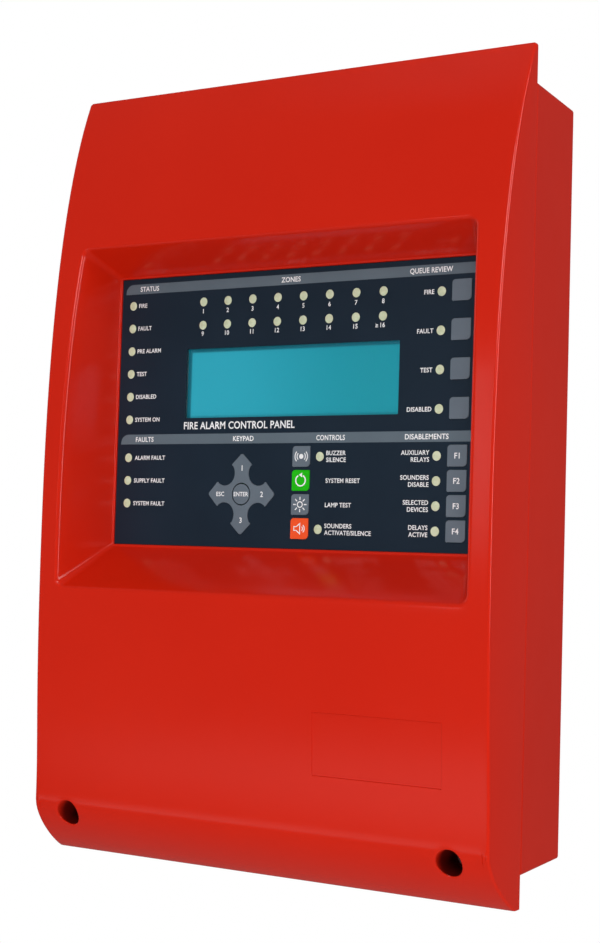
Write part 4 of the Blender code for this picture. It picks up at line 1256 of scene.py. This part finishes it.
def area_light(name, place, target, size, power):
    light = bpy.data.lights.new(name, "AREA")
    light.shape = "RECTANGLE"
    light.size, light.size_y = size
    light.energy = power
    obj = placed(name, light)
    obj.location = place
    obj.rotation_euler = (Vector(target) - Vector(place)).to_track_quat("-Z", "Y").to_euler()
    return obj


def studio():
    world = bpy.data.worlds.new("studio")
    scene.world = world
    world.use_nodes = True
    tree = world.node_tree
    tree.nodes.clear()
    ray = add_node(tree, "ShaderNodeLightPath").outputs["Is Camera Ray"]
    seen = add_node(tree, "ShaderNodeBackground", {"Color": (1, 1, 1, 1), "Strength": 1.0})
    lit = add_node(tree, "ShaderNodeBackground", {"Color": (1, 0.99, 0.98, 1), "Strength": 0.16})
    both = add_node(tree, "ShaderNodeMixShader", {0: ray, 1: lit.outputs[0], 2: seen.outputs[0]})
    add_node(tree, "ShaderNodeOutputWorld", {0: both.outputs[0]})
    area_light("front", (0.7, -1.9, 1.1), (0, 0, 0), (1.0, 1.0), 16.8)
    area_light("side", (1.9, -0.15, 0.55), (0, 0, 0), (0.9, 1.5), 19)
    area_light("strip", (-0.655, -1.97, 0.25), (0.12, -0.09, 0.02), (0.09, 0.55), 0.45)
    area_light("left", (-1.9, 0.2, 0.3), (0, 0, 0), (1.4, 1.6), 9)
    area_light("rear", (-0.9, 1.9, 0.9), (0, 0, 0), (1.4, 1.4), 16)
    low = area_light("low", (0.3, -1.2, -0.70), (0, 0, 0.05), (1.2, 0.25), 9.5)
    area_light("sheen", (-0.70, -1.6, -0.68), (0, 0, -0.15), (1.1, 0.22), 0.6)
    above = area_light("above", (-0.3, -0.9, 2.0), (0, 0, 0), (1.2, 0.8), 14)
    for light in (low, above):
        light.visible_glossy = light.visible_camera = False
    bm = bmesh.new()
    bmesh.ops.create_circle(bm, cap_ends=True, segments=96, radius=1500)
    bmesh.ops.translate(bm, verts=bm.verts, vec=(0, 0, -900))
    pale = moulded("floor_pale", (0.64, 0.64, 0.63), (0.68, 0.68, 0.67), (0.6, 0.7), cloud=3.0)
    floor = finish_mesh(bm, "floor", pale)
    floor.visible_glossy = False
    scene.view_settings.view_transform = "Standard"


def photo_camera():
    yaw, pitch, roll = math.radians(29), math.radians(-2.917), math.radians(1.699)
    ahead = Vector((-math.sin(yaw) * math.cos(pitch), math.cos(yaw) * math.cos(pitch), -math.sin(pitch)))
    level = Vector((math.cos(yaw), math.sin(yaw), 0))
    above = level.cross(ahead)
    right = level * math.cos(roll) + above * math.sin(roll)
    top = above * math.cos(roll) - level * math.sin(roll)
    data = bpy.data.cameras.new("camera")
    data.lens, data.sensor_width = 59.28, 36.0
    data.clip_start = 0.01
    obj = placed("camera", data)
    place = (0.425007, -0.808653, -0.042684)
    obj.matrix_world = Matrix([[right[i], top[i], -ahead[i], place[i]] for i in range(3)] + [[0, 0, 0, 1]])
    scene.camera = obj


studio()
photo_camera()
